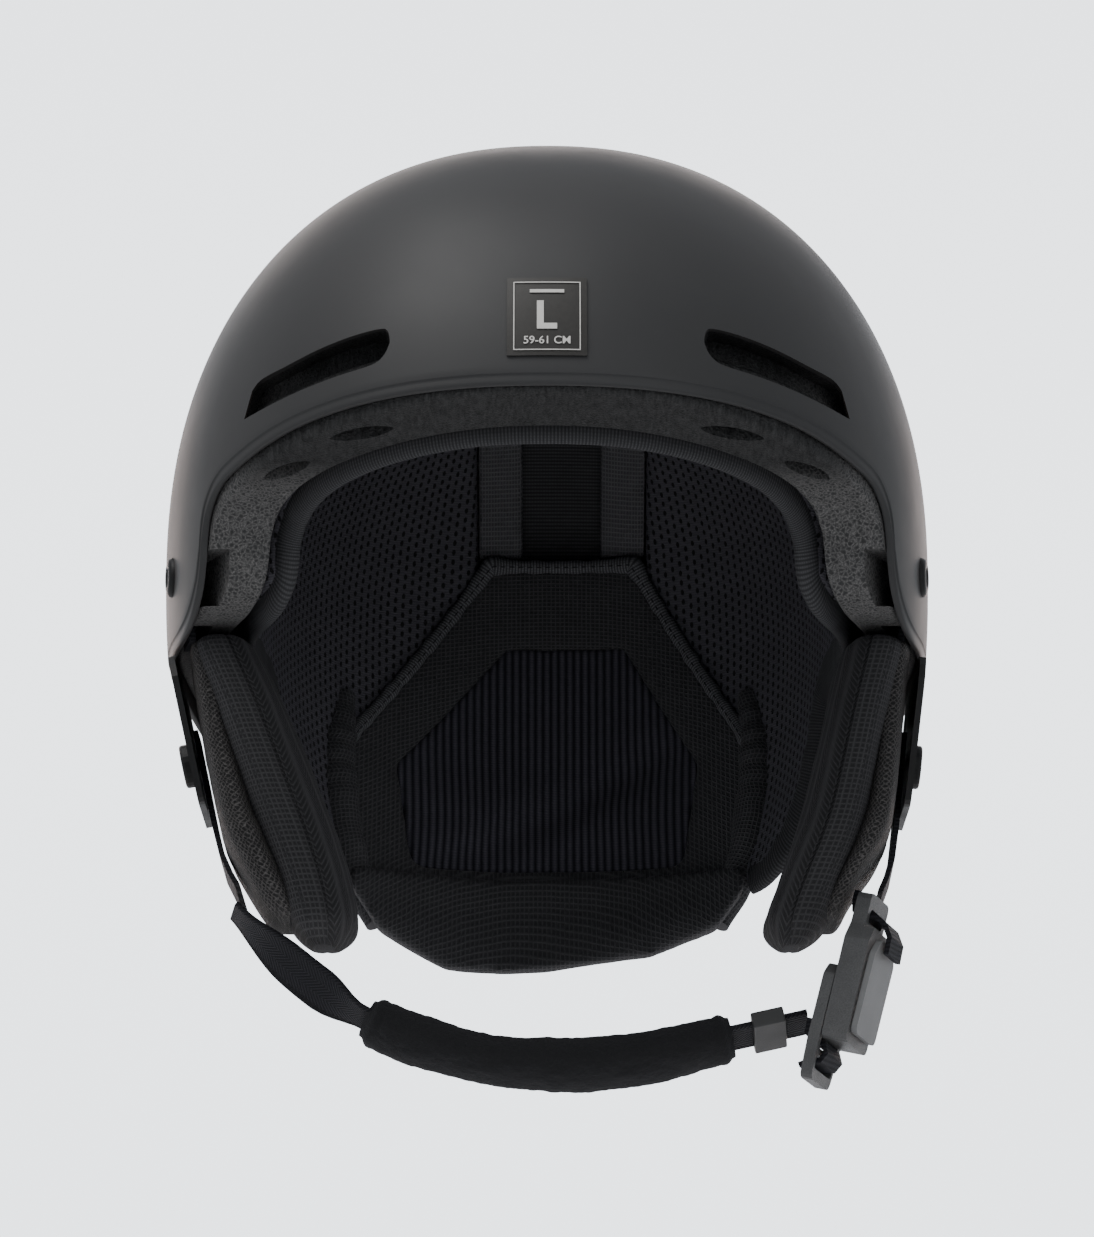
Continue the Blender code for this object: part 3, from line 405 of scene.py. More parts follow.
def ribbon(name, path, across, width, thick, look):
    """Flat webbing with round selvedges, along a path in millimetres."""
    lead = np.broadcast_to(np.asarray(across, float), np.shape(path))
    both = respaced(np.hstack([path, lead]), 1.0, reach=3)
    path = both[:, :3]
    _, side, up = frames_along(path, both[:, 3:])
    corner, flat = thick / 2, 7
    turn = np.linspace(-math.pi / 2, math.pi / 2, 5)
    edge = np.stack([(width / 2 - corner) + corner * np.cos(turn), corner * np.sin(turn)], -1)
    inner = np.linspace(width / 2 - corner, -(width / 2 - corner), flat + 2)[1:-1]
    face = np.stack([inner, np.full(flat, corner)], -1)
    section = np.vstack([edge, face, -edge, -face])
    run = np.arange(len(path)) * 1.0
    rings = path[:, None] + side[:, None] * section[None, :, :1] + up[:, None] * section[None, :, 1:]
    weave = np.stack(np.broadcast_arrays(run_along(section)[None], run[:, None]), -1)
    return loft(name, rings, look, 60, weave)


def tube(name, path, radius, look, sides=10):
    """A round body along a path, its radius one number or one for each point."""
    path = np.asarray(path, float)
    level = abs(np.ptp(path[:, 2])) < np.ptp(path[:, :2], 0).max()
    _, side, up = frames_along(path, [0.0, 0.0, 1.0] if level else [0.0, 1.0, 0.0])
    turn = np.linspace(0, 2 * math.pi, sides, endpoint=False)
    radius = np.broadcast_to(radius, len(path))
    rings = path[:, None] + radius[:, None, None] * (
        np.cos(turn)[None, :, None] * side[:, None] + np.sin(turn)[None, :, None] * up[:, None]
    )
    weave = np.stack(np.broadcast_arrays(turn[None, :] * radius[:, None], run_along(path)[:, None]), -1)
    return loft(name, rings, look, 60, weave)


def stitches(name, path, outward_at, look, pitch=2.6, length=1.8, radius=0.24):
    """One mesh of short thread loops along a path, each sunk at both ends."""
    lead = np.broadcast_to(np.asarray(outward_at, float), np.shape(path))
    both = respaced(np.hstack([path, lead]), pitch / 2, reach=3)
    path = both[:, :3]
    along, up, _ = frames_along(path, both[:, 3:])
    points, faces = [], []
    turn = np.linspace(0, 2 * math.pi, 6, endpoint=False)
    shape = [(-0.5, -0.55, 0.45), (-0.3, 0.25, 0.9), (0.0, 0.5, 1.0), (0.3, 0.25, 0.9), (0.5, -0.55, 0.45)]
    for k in range(1, len(path) - 1, 2):
        middle, a, u = path[k], along[k], up[k]
        b = np.cross(a, u)
        start = len(points)
        for reach, height, swell in shape:
            centre = middle + a * reach * length + u * height * radius
            for t in turn:
                points.append(centre + radius * swell * (b * math.cos(t) + u * math.sin(t)))
        faces += quads(len(shape), 6, True, start)
        faces.append(tuple(start + c for c in range(6)))
        faces.append(tuple(start + (len(shape) - 1) * 6 + c for c in reversed(range(6))))
    return made_mesh(name, points, faces, look, 60)


def belongs(obj, body, slot, *nodes):
    """Hands a piece to its body and hides the CAD nodes that it stands for. Its material slot is not used."""
    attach(obj, body)
    if nodes:
        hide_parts(*nodes)
    return obj


# ---------------------------------------------------------------- materials

class Look:
    """A Principled material under construction, with short ways to add its nodes."""

    def __init__(self, name, colour, roughness, sheen=(), metallic=0.0):
        """sheen: its weight, roughness and tint."""
        self.material = bpy.data.materials.new(name)
        self.material.use_nodes = True
        self.tree = self.material.node_tree
        self.shader = self.tree.nodes["Principled BSDF"]
        sockets = {"Base Color": (*colour, 1.0), "Roughness": roughness, "Specular IOR Level": 0.15,
                   "Metallic": metallic}
        sockets.update(zip(("Sheen Weight", "Sheen Roughness", "Sheen Tint"), sheen))
        for socket, value in sockets.items():
            self.shader.inputs[socket].default_value = value

    def node(self, kind, settings=None, **inputs):
        made = self.tree.nodes.new(f"ShaderNode{kind}")
        for key, value in (settings or {}).items():
            setattr(made, key, value)
        for key, value in inputs.items():
            socket = made.inputs[int(key[1:])] if key[0] == "i" and key[1:].isdigit() else made.inputs[key]
            if isinstance(value, bpy.types.NodeSocket):
                self.tree.links.new(value, socket)
            else:
                socket.default_value = value
        return made

    def math(self, operation, a, b=0.0, c=0.0):
        return self.node("Math", {"operation": operation}, i0=a, i1=b, i2=c).outputs[0]

    def place(self):
        """Object coordinates, in millimetres."""
        coords = self.node("TexCoord").outputs["Object"]
        return self.node("VectorMath", {"operation": "SCALE"}, Vector=coords, Scale=1 / MM).outputs[0]

    def weave(self):
        """The cloth coordinates stored on the mesh: u, v and both as a vector."""
        settings = {"attribute_name": "weave", "attribute_type": "GEOMETRY"}
        vector = self.node("Attribute", settings).outputs["Vector"]
        split = self.node("SeparateXYZ", Vector=vector)
        return split.outputs[0], split.outputs[1], vector

    def noise(self, vector, size, detail=2.0, rough=0.5):
        made = self.node("TexNoise", None, Vector=vector, Scale=1 / size, Detail=detail, Roughness=rough)
        return made.outputs["Fac"]

    def fibre(self, size=0.3):
        """The fine noise of loose fibres."""
        return self.noise(self.place(), size, 3.0, 0.7)

    def bent(self, vector, scale, by):
        """Coordinates pushed about by noise."""
        warp = self.node("TexNoise", None, Vector=self.place(), Scale=scale, Detail=2.0).outputs["Color"]
        made = self.node("VectorMath", {"operation": "MULTIPLY_ADD"}, i0=warp, i1=(by,) * 3, i2=vector)
        return made.outputs[0]

    def stretched(self, vector, by):
        return self.node("VectorMath", {"operation": "MULTIPLY"}, i0=vector, i1=by).outputs[0]

    def faded(self, height, by, low, high, least=0.2, most=0.8):
        """A height dimmed by a noise, where that runs from least to most."""
        return self.math("MULTIPLY", height, self.span(by, least, most, low, high))

    def cells(self, vector, size, feature="F1"):
        made = self.node("TexVoronoi", {"feature": feature}, Vector=vector, Scale=1 / size)
        return made.outputs["Distance"]

    def wave(self, value, pitch):
        """A cosine ridge from 0 to 1, one for each pitch."""
        turn = self.math("MULTIPLY_ADD", value, 2 * math.pi / pitch)
        return self.math("MULTIPLY_ADD", self.math("COSINE", turn), 0.5, 0.5)

    def blend(self, low, high, factor):
        """A colour mixed from low to high, each a grey, a colour or a socket."""
        made = self.node("Mix", {"data_type": "RGBA"}, Factor=factor)
        for socket, value in ((made.inputs[6], low), (made.inputs[7], high)):
            if isinstance(value, bpy.types.NodeSocket):
                self.tree.links.new(value, socket)
            else:
                value = (value,) * 3 if isinstance(value, float) else value
                socket.default_value = (*value, 1.0)
        return made.outputs[2]

    def span(self, value, low, high, to_low=0.0, to_high=1.0):
        return self.node("MapRange", None, Value=value, i1=low, i2=high, i3=to_low, i4=to_high).outputs[0]

    def colour(self, socket):
        self.tree.links.new(socket, self.shader.inputs["Base Color"])
        return self

    def rough(self, socket):
        self.tree.links.new(socket, self.shader.inputs["Roughness"])
        return self

    def bump(self, height, depth):
        """Height from 0 to 1 stands for depth millimetres."""
        before = self.shader.inputs["Normal"]
        made = self.node("Bump", None, Height=height, Distance=depth * MM, Strength=1.0)
        if before.is_linked:
            self.tree.links.new(before.links[0].from_socket, made.inputs["Normal"])
        self.tree.links.new(made.outputs[0], before)
        return self


COOL_TINT = (0.85, 0.85, 1.0, 1.0)


def shell_paint():
    """Matt soft-touch black, with a faint orange peel and handling marks."""
    look = Look("shell_black", (0.02, 0.02, 0.02), 0.5, (0.02, 0.4, (1.0, 0.80, 0.70, 1.0)))
    place = look.place()
    marks = look.noise(place, 38.0, 4.0, 0.6)
    look.rough(look.span(marks, 0.3, 0.7, 0.46, 0.54))
    look.colour(look.blend(0.0195, (0.0235, 0.0235, 0.024), marks))
    return look.bump(look.noise(place, 0.55), 0.012).material


def foam_beads():
    """Moulded EPS: fused beads with paler borders, and painted shade that darkens the brim at the front, in streaks.
    """
    look = Look("foam_grey", (0.04, 0.038, 0.038), 0.62)
    place = look.place()
    beads = look.cells(look.bent(place, 0.35, 0.9), 1.25, "DISTANCE_TO_EDGE")
    border = look.span(beads, 0.0, 0.32, 1.0, 0.0)
    grain = look.noise(place, 0.45, 4.0, 0.75)
    tone = look.faded(border, grain, 0.0, 1.0, 0.35, 0.7)
    dark = look.blend(0.012, 0.026, look.noise(place, 14.0))
    moulded = look.blend(dark, (0.12, 0.116, 0.113), tone)
    # painted shade: the downward-facing front brim is coloured much darker, in streaky noise, blended in along Y
    brim = look.span(look.node("SeparateXYZ", Vector=place).outputs[1], -98.0, -84.0)
    streak = look.stretched(place, (1.0, 0.25, 0.25))
    painted_brim_shade = look.blend(0.004, 0.027, look.span(look.noise(streak, 0.9, 4.0, 0.75), 0.35, 0.75))
    look.colour(look.blend(painted_brim_shade, moulded, brim))
    look.bump(border, 0.16).bump(grain, 0.08)
    return look.rough(look.span(grain, 0.3, 0.7, 0.5, 0.75)).material


def waffle_cloth(name="waffle_fabric", low=0.022, high=0.050, pitch=(1.35, 1.3), fold=0.0):
    """A fine waffle weave: raised threads both ways with a pit between them, in chevrons if fold is set."""
    look = Look(name, (high,) * 3, 0.9, (0.03, 0.55, (0.9, 0.88, 0.95, 1.0)))
    u, v, _ = look.weave()
    if fold:
        v = look.math("ADD", v, look.math("PINGPONG", u, fold))
    warp, weft = look.wave(u, pitch[0]), look.wave(v, pitch[1])
    grid = look.math("MAXIMUM", look.math("POWER", warp, 3.0), look.math("POWER", weft, 3.0))
    fibre = look.fibre(0.25)
    tone = look.faded(grid, fibre, 0.55, 1.1)
    look.colour(look.blend((low, low, low * 1.05), (high, high * 0.98, high * 1.02), tone))
    return look.bump(grid, 0.28).bump(fibre, 0.06).material


def spacer_mesh():
    """A knitted spacer mesh with staggered open holes."""
    look = Look("spacer_mesh", (0.012, 0.012, 0.014), 0.85, (0.03, 0.5, COOL_TINT))
    u, v, _ = look.weave()
    column, row = 2.3, 2.7
    shifted = look.math("MULTIPLY", look.math("FLOOR", look.math("DIVIDE", u, column)), row / 2)
    across = look.math("SUBTRACT", look.math("FRACT", look.math("DIVIDE", u, column)), 0.5)
    down = look.math("FRACT", look.math("DIVIDE", look.math("ADD", v, shifted), row))
    down = look.math("SUBTRACT", down, 0.5)
    across = look.math("POWER", look.math("MULTIPLY", across, 1.35), 2.0)
    reach = look.math("SQRT", look.math("ADD", across, look.math("POWER", down, 2.0)))
    hole = look.span(reach, 0.24, 0.36, 1.0, 0.0)
    rib = look.wave(v, 0.7)
    tone = look.faded(look.span(rib, 0.0, 1.0, 0.6, 1.0), look.fibre(), 0.6, 1.1)
    cloth = look.blend((0.024, 0.023, 0.027), (0.062, 0.060, 0.068), tone)
    look.colour(look.blend(cloth, 0.008, hole))
    return look.bump(look.math("SUBTRACT", 1.0, hole), 0.45).bump(rib, 0.1).material


def corduroy():
    """Vertical ribs of knitted spacer cloth."""
    look = Look("rib_cloth", (0.02, 0.02, 0.023), 0.9, (0.03, 0.5, COOL_TINT))
    u, v, _ = look.weave()
    rib, knit, fibre = look.wave(u, 2.35), look.wave(v, 0.8), look.fibre()
    tone = look.faded(look.math("POWER", rib, 0.8), knit, 0.75, 1.0, 0.0, 1.0)
    tone = look.faded(tone, fibre, 0.7, 1.1)
    look.colour(look.blend((0.006, 0.006, 0.009), (0.060, 0.058, 0.070), tone))
    return look.bump(rib, 0.55).bump(knit, 0.08).bump(fibre, 0.05).material


def smooth_knit(name="black_knit", low=0.014, high=0.046):
    """Fine ribbed jersey, gathered across its length."""
    look = Look(name, (high,) * 3, 0.9, (0.02, 0.5, (0.9, 0.9, 1.0, 1.0)))
    u, v, _ = look.weave()
    fibre = look.fibre()
    height = look.faded(look.wave(v, 0.95), look.wave(u, 0.9), 0.6, 1.0, 0.0, 1.0)
    tone = look.faded(height, fibre, 0.6, 1.1)
    look.colour(look.blend((low, low, low * 1.05), (high, high, high * 1.05), tone))
    return look.bump(height, 0.16).bump(fibre, 0.06).material


def coarse_knit():
    """Open boucle knit with a wiry, slightly shiny yarn."""
    look = Look("coarse_knit", (0.03, 0.028, 0.028), 0.7, (0.04, 0.4, (1.0, 0.92, 0.88, 1.0)))
    bent = look.bent(look.weave()[2], 0.8, 1.2)
    split = look.node("SeparateXYZ", Vector=bent)
    slant_a = look.wave(look.math("ADD", split.outputs[0], split.outputs[1]), 1.5)
    slant_b = look.wave(look.math("SUBTRACT", split.outputs[0], split.outputs[1]), 1.5)
    yarn = look.math("MAXIMUM", look.math("POWER", slant_a, 4.0), look.math("POWER", slant_b, 4.0))
    fibre = look.noise(look.place(), 0.35, 4.0, 0.75)
    look.colour(look.blend(0.006, (0.085, 0.080, 0.078), look.faded(yarn, fibre, 0.3, 1.2, 0.3, 0.75)))
    return look.bump(yarn, 0.55).bump(fibre, 0.25).material


def fleece():
    """Brushed fleece: soft, matt, with short clumped nap."""
    look = Look("fleece", (0.003, 0.003, 0.003), 0.95, (0.05, 0.75, (0.75, 0.75, 0.82, 1.0)))
    place = look.place()
    nap = look.noise(place, 1.1, 4.0, 0.7)
    fuzz = look.noise(place, 0.28, 3.0, 0.8)
    look.colour(look.blend(0.001, 0.006, look.math("MULTIPLY", nap, fuzz)))
    return look.bump(nap, 0.55).bump(fuzz, 0.25).material


def felt():
    """Looped felt for the hook-and-loop dots."""
    look = Look("loop_felt", (0.02, 0.02, 0.021), 0.9, (0.2,))
    place = look.place()
    loops = look.cells(place, 0.8)
    fuzz = look.noise(place, 0.5, 4.0, 0.8)
    look.colour(look.blend(0.008, 0.04, look.math("MULTIPLY", loops, fuzz)))
    return look.bump(loops, 0.3).bump(fuzz, 0.2).material


def webbing(name, plain):
    """Flat webbing: plain ribs from object coordinates, or chevrons from the cloth coordinates."""
    look = Look(name, (0.008, 0.008, 0.01), 0.7, (0.03, 0.4, (0.85, 0.87, 1.0, 1.0)))
    if plain:
        split = look.node("SeparateXYZ", Vector=look.place())
        rib, pick = look.wave(split.outputs[2], 1.2), look.wave(split.outputs[1], 0.8)
        least, depth = 0.6, 0.20
    else:
        u, v, _ = look.weave()
        rib = look.wave(look.math("ADD", v, look.math("PINGPONG", u, WEB_WIDTH / 4)), 1.25)
        pick = look.wave(u, 0.62)
        least, depth = 0.7, 0.22
    fibre = look.fibre(0.25)
    height = look.faded(rib, pick, least, 1.0, 0.0, 1.0)
    tone = look.faded(height, fibre, 0.6, 1.1)
    look.colour(look.blend((0.002, 0.002, 0.003), (0.012, 0.012, 0.015), tone))
    return look.bump(height, depth).bump(fibre, 0.05).material


def plastic(name, tone, rough=0.42, speckle=0.3, depth=0.05):
    """Moulded nylon with a fine spark-eroded grain."""
    look = Look(name, (tone,) * 3, rough)
    place = look.place()
    grain = look.noise(place, 0.34, 3.0, 0.75)
    cloud = look.noise(place, 9.0, 3.0)
    spot = look.span(grain, 0.35, 0.7, 1.0 - speckle, 1.0 + speckle)
    look.colour(look.blend(tone * 0.75, tone * 1.3, look.math("MULTIPLY", cloud, spot)))
    look.rough(look.span(cloud, 0.3, 0.7, rough - 0.06, rough + 0.08))
    return look.bump(grain, depth).material


def brushed_steel():
    look = Look("steel", (0.5, 0.5, 0.51), 0.34, metallic=1.0)
    lines = look.noise(look.stretched(look.place(), (0.4, 6.0, 6.0)), 1.2, 3.0, 0.6)
    look.colour(look.blend(0.34, (0.56, 0.56, 0.57), lines))
    return look.rough(look.span(lines, 0.3, 0.7, 0.26, 0.42)).bump(lines, 0.01).material


def printed(name, low, high, rough=0.4):
    """Printed film, with a slight mottle."""
    look = Look(name, high, rough)
    mottle = look.noise(look.place(), 1.4, 3.0, 0.6)
    look.colour(look.blend(low, high, mottle))
    return look.bump(mottle, 0.015).material


SHELL_BLACK = shell_paint()
FOAM = foam_beads()
WAFFLE = waffle_cloth()
BAND_CLOTH = waffle_cloth("band_cloth", 0.050, 0.095, (0.9, 1.3))
EAR_CLOTH = waffle_cloth("ear_cloth", 0.008, 0.027, (1.5, 1.4))
CHEVRON_CLOTH = waffle_cloth("chevron_cloth", 0.006, 0.024, (8.0, 1.6), 4.0)
MESH_CLOTH = spacer_mesh()
RIB_CLOTH = corduroy()
KNIT = smooth_knit()
TRIM_KNIT = smooth_knit("trim_knit", 0.03, 0.13)
COARSE_KNIT = coarse_knit()
FLEECE = fleece()
WEBBING = webbing("webbing", False)
PLAIN_WEBBING = webbing("webbing_plain", True)
LOOP_FELT = felt()
BLACK_PLASTIC = plastic("black_plastic", 0.006)
GREY_PLASTIC = plastic("grey_plastic", 0.028, 0.42, 0.2)
BUCKLE_PLASTIC = plastic("buckle_plastic", 0.055, 0.36, 0.85, 0.09)
COVER_PLASTIC = plastic("cover_plastic", 0.11, 0.38, 0.25)
STEEL = brushed_steel()
THREAD = smooth_knit("thread", 0.006, 0.018)
LABEL_FILM = printed("label_film", (0.016, 0.015, 0.014), (0.024, 0.023, 0.021))
LABEL_INK = printed("label_ink", (0.34, 0.33, 0.31), (0.42, 0.41, 0.39), 0.5)


# ---------------------------------------------------------------- shell and foam

def edge_level(edge):
    curve = spline(edge, 24)
    return lambda y: np.interp(y, curve[:, 0], curve[:, 1])


def outer_rim(surface, edge, spacing):
    """Azimuths and elevations of points evenly spaced along the dome's lower edge."""
    level = edge_level(edge)
    azimuth = np.linspace(-math.pi / 2, 1.5 * math.pi, 2880, endpoint=False)
    rises = np.linspace(math.pi / 2, -1.3, 500)
    points = on_dome(azimuth[:, None], rises[None], surface)
    first = np.argmax(points[..., 2] < level(points[..., 1]), axis=1)
    high, low = rises[first - 1], rises[first]
    for _ in range(30):
        middle = (high + low) / 2
        p = on_dome(azimuth, middle, surface)
        under = p[:, 2] < level(p[:, 1])
        high, low = np.where(under, high, middle), np.where(under, middle, low)
    run = run_along(on_dome(azimuth, low, surface))
    at = np.linspace(0, run[-1], int(run[-1] / spacing), endpoint=False)
    return np.interp(at, run, azimuth), np.interp(at, run, low)


def inner_rim(points, surface, edge):
    """For points of an outer edge, the directions of their partners straight across on an inner surface."""
    level = edge_level(edge)
    matched, y = 85.0, points[:, 1]
    made = y.copy()
    for end in (-1, 1):
        far, near = end * surface[1], 0.0
        for _ in range(40):
            middle = (far + near) / 2
            if half_width(middle, level(middle), surface) > 0.05:
                near = middle
            else:
                far = middle
        reach = (abs(near) - matched) / (np.abs(y[np.sign(y) == end]).max() - matched)
        beyond = (np.sign(y) == end) & (np.abs(y) > matched)
        made[beyond] = end * (matched + (np.abs(y[beyond]) - matched) * reach)
    z = level(made)
    x = np.sign(points[:, 0]) * half_width(made, z, surface) / (1 + EGG * made / HALF_LENGTH)
    return np.arctan2(made, x), np.arctan2(z - WIDEST_LEVEL, np.hypot(x, made))


def cap(name, outer, inner, edge, look, spacing, rows, lip, across, inner_rows, step_back=0.0):
    """A thick dome open below, with a rounded lower edge. step_back: how far its foot is set in."""
    azimuth, rise = outer_rim(outer, edge, spacing)
    foot = on_dome(azimuth, rise, outer)
    azimuth_in, rise_in = inner_rim(foot, inner, edge)
    foot_in = on_dome(azimuth_in, rise_in, inner)
    down = foot - on_dome(azimuth, rise + 0.01, outer)
    step = np.linalg.norm(down, axis=1)
    down /= step[:, None]
    step_in = np.linalg.norm(foot_in - on_dome(azimuth_in, rise_in + 0.01, inner), axis=1)
    wall = foot_in - foot
    wide = np.linalg.norm(wall, axis=1, keepdims=True)
    wall /= wide
    r = np.minimum(lip, wide * 0.49)
    share = np.linspace(0, 1, rows)[1:, None]
    top = math.pi / 2
    high = rise + (r[:, 0] + LIP_HEIGHT) / step * 0.01
    body = on_dome(azimuth[None], top + (high - top)[None] * share, outer)
    if step_back:
        lips = [
            on_dome(azimuth, rise + (r[:, 0] + LIP_HEIGHT * up) / step * 0.01, outer)
            + wall * step_back * back for up, back in ((0.93, 0.1), (0.84, 0.8), (0.76, 1.0), (0.5, 1.0), (0.2, 1.0))
        ]
        body = np.concatenate([body, lips])
        foot = foot + wall * step_back
        wide = wide - step_back
    turn = np.linspace(0, math.pi / 2, 5)[1:, None, None]
    arc = foot + wall * r * (1 - np.cos(turn)) - down * r * (1 - np.sin(turn))
    flat = [foot + wall * (r + (wide - 2 * r) * k / across) for k in range(1, across)]
    turn = turn[::-1]
    arc_in = foot_in - wall * r * (1 - np.cos(turn)) - down * r * (1 - np.sin(turn))
    share = np.linspace(1, 0, inner_rows)[:-1, None]
    high = rise_in + r[:, 0] / step_in * 0.01
    hollow = on_dome(azimuth_in[None], top + (high - top)[None] * share, inner)
    rings = np.concatenate([body, arc, np.array(flat).reshape(-1, len(foot), 3), arc_in, hollow])
    count, cols = len(rings), len(foot)
    points = np.vstack([rings.reshape(-1, 3), on_dome(0.0, top, outer), on_dome(0.0, top, inner)])
    faces = quads(count, cols)
    faces += [(count * cols, (c + 1) % cols, c) for c in range(cols)]
    base = (count - 1) * cols
    faces += [(count * cols + 1, base + c, base + (c + 1) % cols) for c in range(cols)]
    return made_mesh(name, points, faces, look, 50)


def vent_cutter(name, side, end, lift, depth_of=None, grow=0.0):
    """A closed body through the vent: straight through, or down to a floor at depth_of(share of height)."""
    upper, lower = (evenly(spline(edge), 41) for edge in (VENT_UPPER, VENT_LOWER))
    share = np.linspace(-grow, 1 + grow, 17)[:, None, None]
    flat = upper[None] + (lower - upper)[None] * share
    x, z = side * flat[..., 0], flat[..., 1] + lift
    far = np.full(x.shape, end * 200.0)
    if depth_of is None:
        near = np.full(x.shape, end * 62.0)
    else:
        reach = depth_of(np.broadcast_to(share[..., 0], x.shape))
        near = depth_at(x, z, OUTER, end) - end * reach
    return sheet(name, [np.stack([x, y, z], -1) for y in (far, near)], None)


CUTTERS = []


def cut(obj, tool):
    """Takes a closed body out of an object, once its modifiers are applied."""
    tool.hide_render = True
    tool.hide_viewport = True
    modifier = obj.modifiers.new("cut", "BOOLEAN")
    modifier.operation = "DIFFERENCE"
    modifier.object = tool
    CUTTERS.append(tool)


def softened(obj, width, segments=2, angle=35.0):
    """Rounds an object's sharp edges."""
    bevel = obj.modifiers.new("bevel", "BEVEL")
    bevel.width = width * MM
    bevel.segments = segments
    bevel.limit_method = "ANGLE"
    bevel.angle_limit = math.radians(angle)
    bevel.use_clamp_overlap = True
    bevel.harden_normals = True


def port_cutter(name, side, place, turn, length, width):
    """A lens-shaped air port in the foam's brim."""
    x, y = place
    across = np.linspace(0, 2 * math.pi, 40, endpoint=False)
    tall = np.sin(across) * np.abs(np.sin(across)) ** 0.35
    lens = np.stack([np.cos(across) * length / 2, tall * width / 2], -1)
    spin = math.radians(turn)
    lens = lens @ np.array([[math.cos(spin), math.sin(spin)], [-math.sin(spin), math.cos(spin)]])
    rings = []
    for level, grow in ((30, 1.0), (57, 1.0), (60, 0.9), (61.5, 0.6)):
        rings.append([(side * (x + u * grow), y + v * grow, level) for u, v in lens])
    return loft(name, rings, None)


def pocket_cutter(name, side, front, back, foot, top, deep):
    """Room behind a strap anchor, with round corners."""
    corners = np.array([(front, foot), (back, foot), (back, top), (front, top)], float)
    radius, ring = 3.0, []
    for k, corner in enumerate(corners):
        to_last, to_next = corners[k - 1] - corner, corners[(k + 1) % 4] - corner
        to_last, to_next = to_last / np.linalg.norm(to_last), to_next / np.linalg.norm(to_next)
        for t in np.linspace(0, math.pi / 2, 6):
            ring.append(corner + radius * (1 - math.sin(t)) * to_last + radius * (1 - math.cos(t)) * to_next)
    ring = np.array(ring)
    near = half_width(ring[:, 0], ring[:, 1], layer(SHELL_WALL + deep))
    rings = [np.column_stack([np.full(len(ring), side * 180.0), ring]),
             np.column_stack([side * near, ring])]
    return loft(name, rings, None)


def pit_floor(share):
    """How deep a vent's pit goes into the foam, from its upper edge (0) to its lower edge (1)."""
    return SHELL_WALL + 11.0 - 4.6 * smoothstep(0.52, 0.60, share) + 2.5 * smoothstep(0.8, 1.1, share)


def shell_and_foam():
    shell = cap("helmet_shell", OUTER, layer(SHELL_WALL), SHELL_EDGE, SHELL_BLACK, 1.5, 96, 0.8, 2, 20, 0.4)
    foam_outer = layer(SHELL_WALL + GAP)
    foam = cap("foam_body", foam_outer, inside_foam(0.0), FOAM_EDGE, FOAM, 1.6, 60, 1.6, 14, 40)
    for side, tag in SIDES:
        for end, place, lift in ((-1, "front", 0.0), (1, "back", REAR_VENT_LIFT)):
            cut(shell, vent_cutter(f"{place}_slot_{tag}", side, end, lift))
            cut(foam, vent_cutter(f"{place}_pit_{tag}", side, end, lift - 0.4, pit_floor, 0.06))
        for name, *size in PORTS:
            cut(foam, port_cutter(f"{name}_{tag}", side, *size))
        for name, *size in POCKETS:
            cut(foam, pocket_cutter(f"{name}_{tag}", side, *size))
    for obj, node, slot, width, segments in (
        (shell, "outer_shell", "shell_black", 0.45, 3), (foam, "foam_liner", "foam_grey", 0.9, 2),
    ):
        softened(obj, width, segments)
        applied(obj)
        belongs(obj, "helmet", slot, node)
    for tool in CUTTERS:
        bpy.data.objects.remove(tool)


# ---------------------------------------------------------------- comfort liner

def round_the_head(points):
    """Cloth coordinates for the side panels: distance round the head and up it."""
    u = np.arctan2(points[:, 1], np.abs(points[:, 0]) + 1e-6) * 92.0
    flat = np.hypot(points[:, 0], points[:, 1])
    v = np.arctan2(points[:, 2] - WIDEST_LEVEL, flat) * 98.0
    return np.stack([u, v], -1)


def crowned(obj, height, reach, seed=0.0, wrinkle=0.25, size=16.0):
    """Lifts the middle of a pad's inner face, so that its edges look sewn down."""
    points, normals = points_of(obj), normals_of(obj)
    inward = -outward(points)
    facing = (normals * inward).sum(1)
    rim = points[facing < 0.55]
    tree = kdtree.KDTree(len(rim))
    for k, p in enumerate(rim):
        tree.insert(Vector(p), k)
    tree.balance()
    far = np.array([tree.find(Vector(p))[2] for p in points])
    rise = height * (1 - np.exp(-far / reach))
    rise += wrinkle * ripple(points, size, seed) * smoothstep(0, reach, far)
    rise *= smoothstep(0.3, 0.8, facing)
    move_points(obj, points + inward * rise[:, None])


def liner_edge():
    """The comfort liner's front and lower edge in the side view."""
    front = [(y, z) for y, z in inset(FOAM_EDGE, LINER_INSET) if y < 10]
    return spline([*front, *LINER_TAIL], 12)


def edge_path(by, surface):
    """A line over the inside of the helmet, this far in from the liner's edge, from side to side."""
    half = []
    for y, z in inset(liner_edge(), by):
        x = float(half_width(y, z, surface))
        if x > 2.0 and y < 66:
            half.append((x, y, z))
    half = np.array(half)
    z = half[0, 2]
    front = np.array([(0.0, float(depth_at(0.0, z, surface, -1)), z)])
    mirrored = half[::-1] * (-1, 1, 1)
    return respaced(np.vstack([mirrored, front, half]), 1.5)


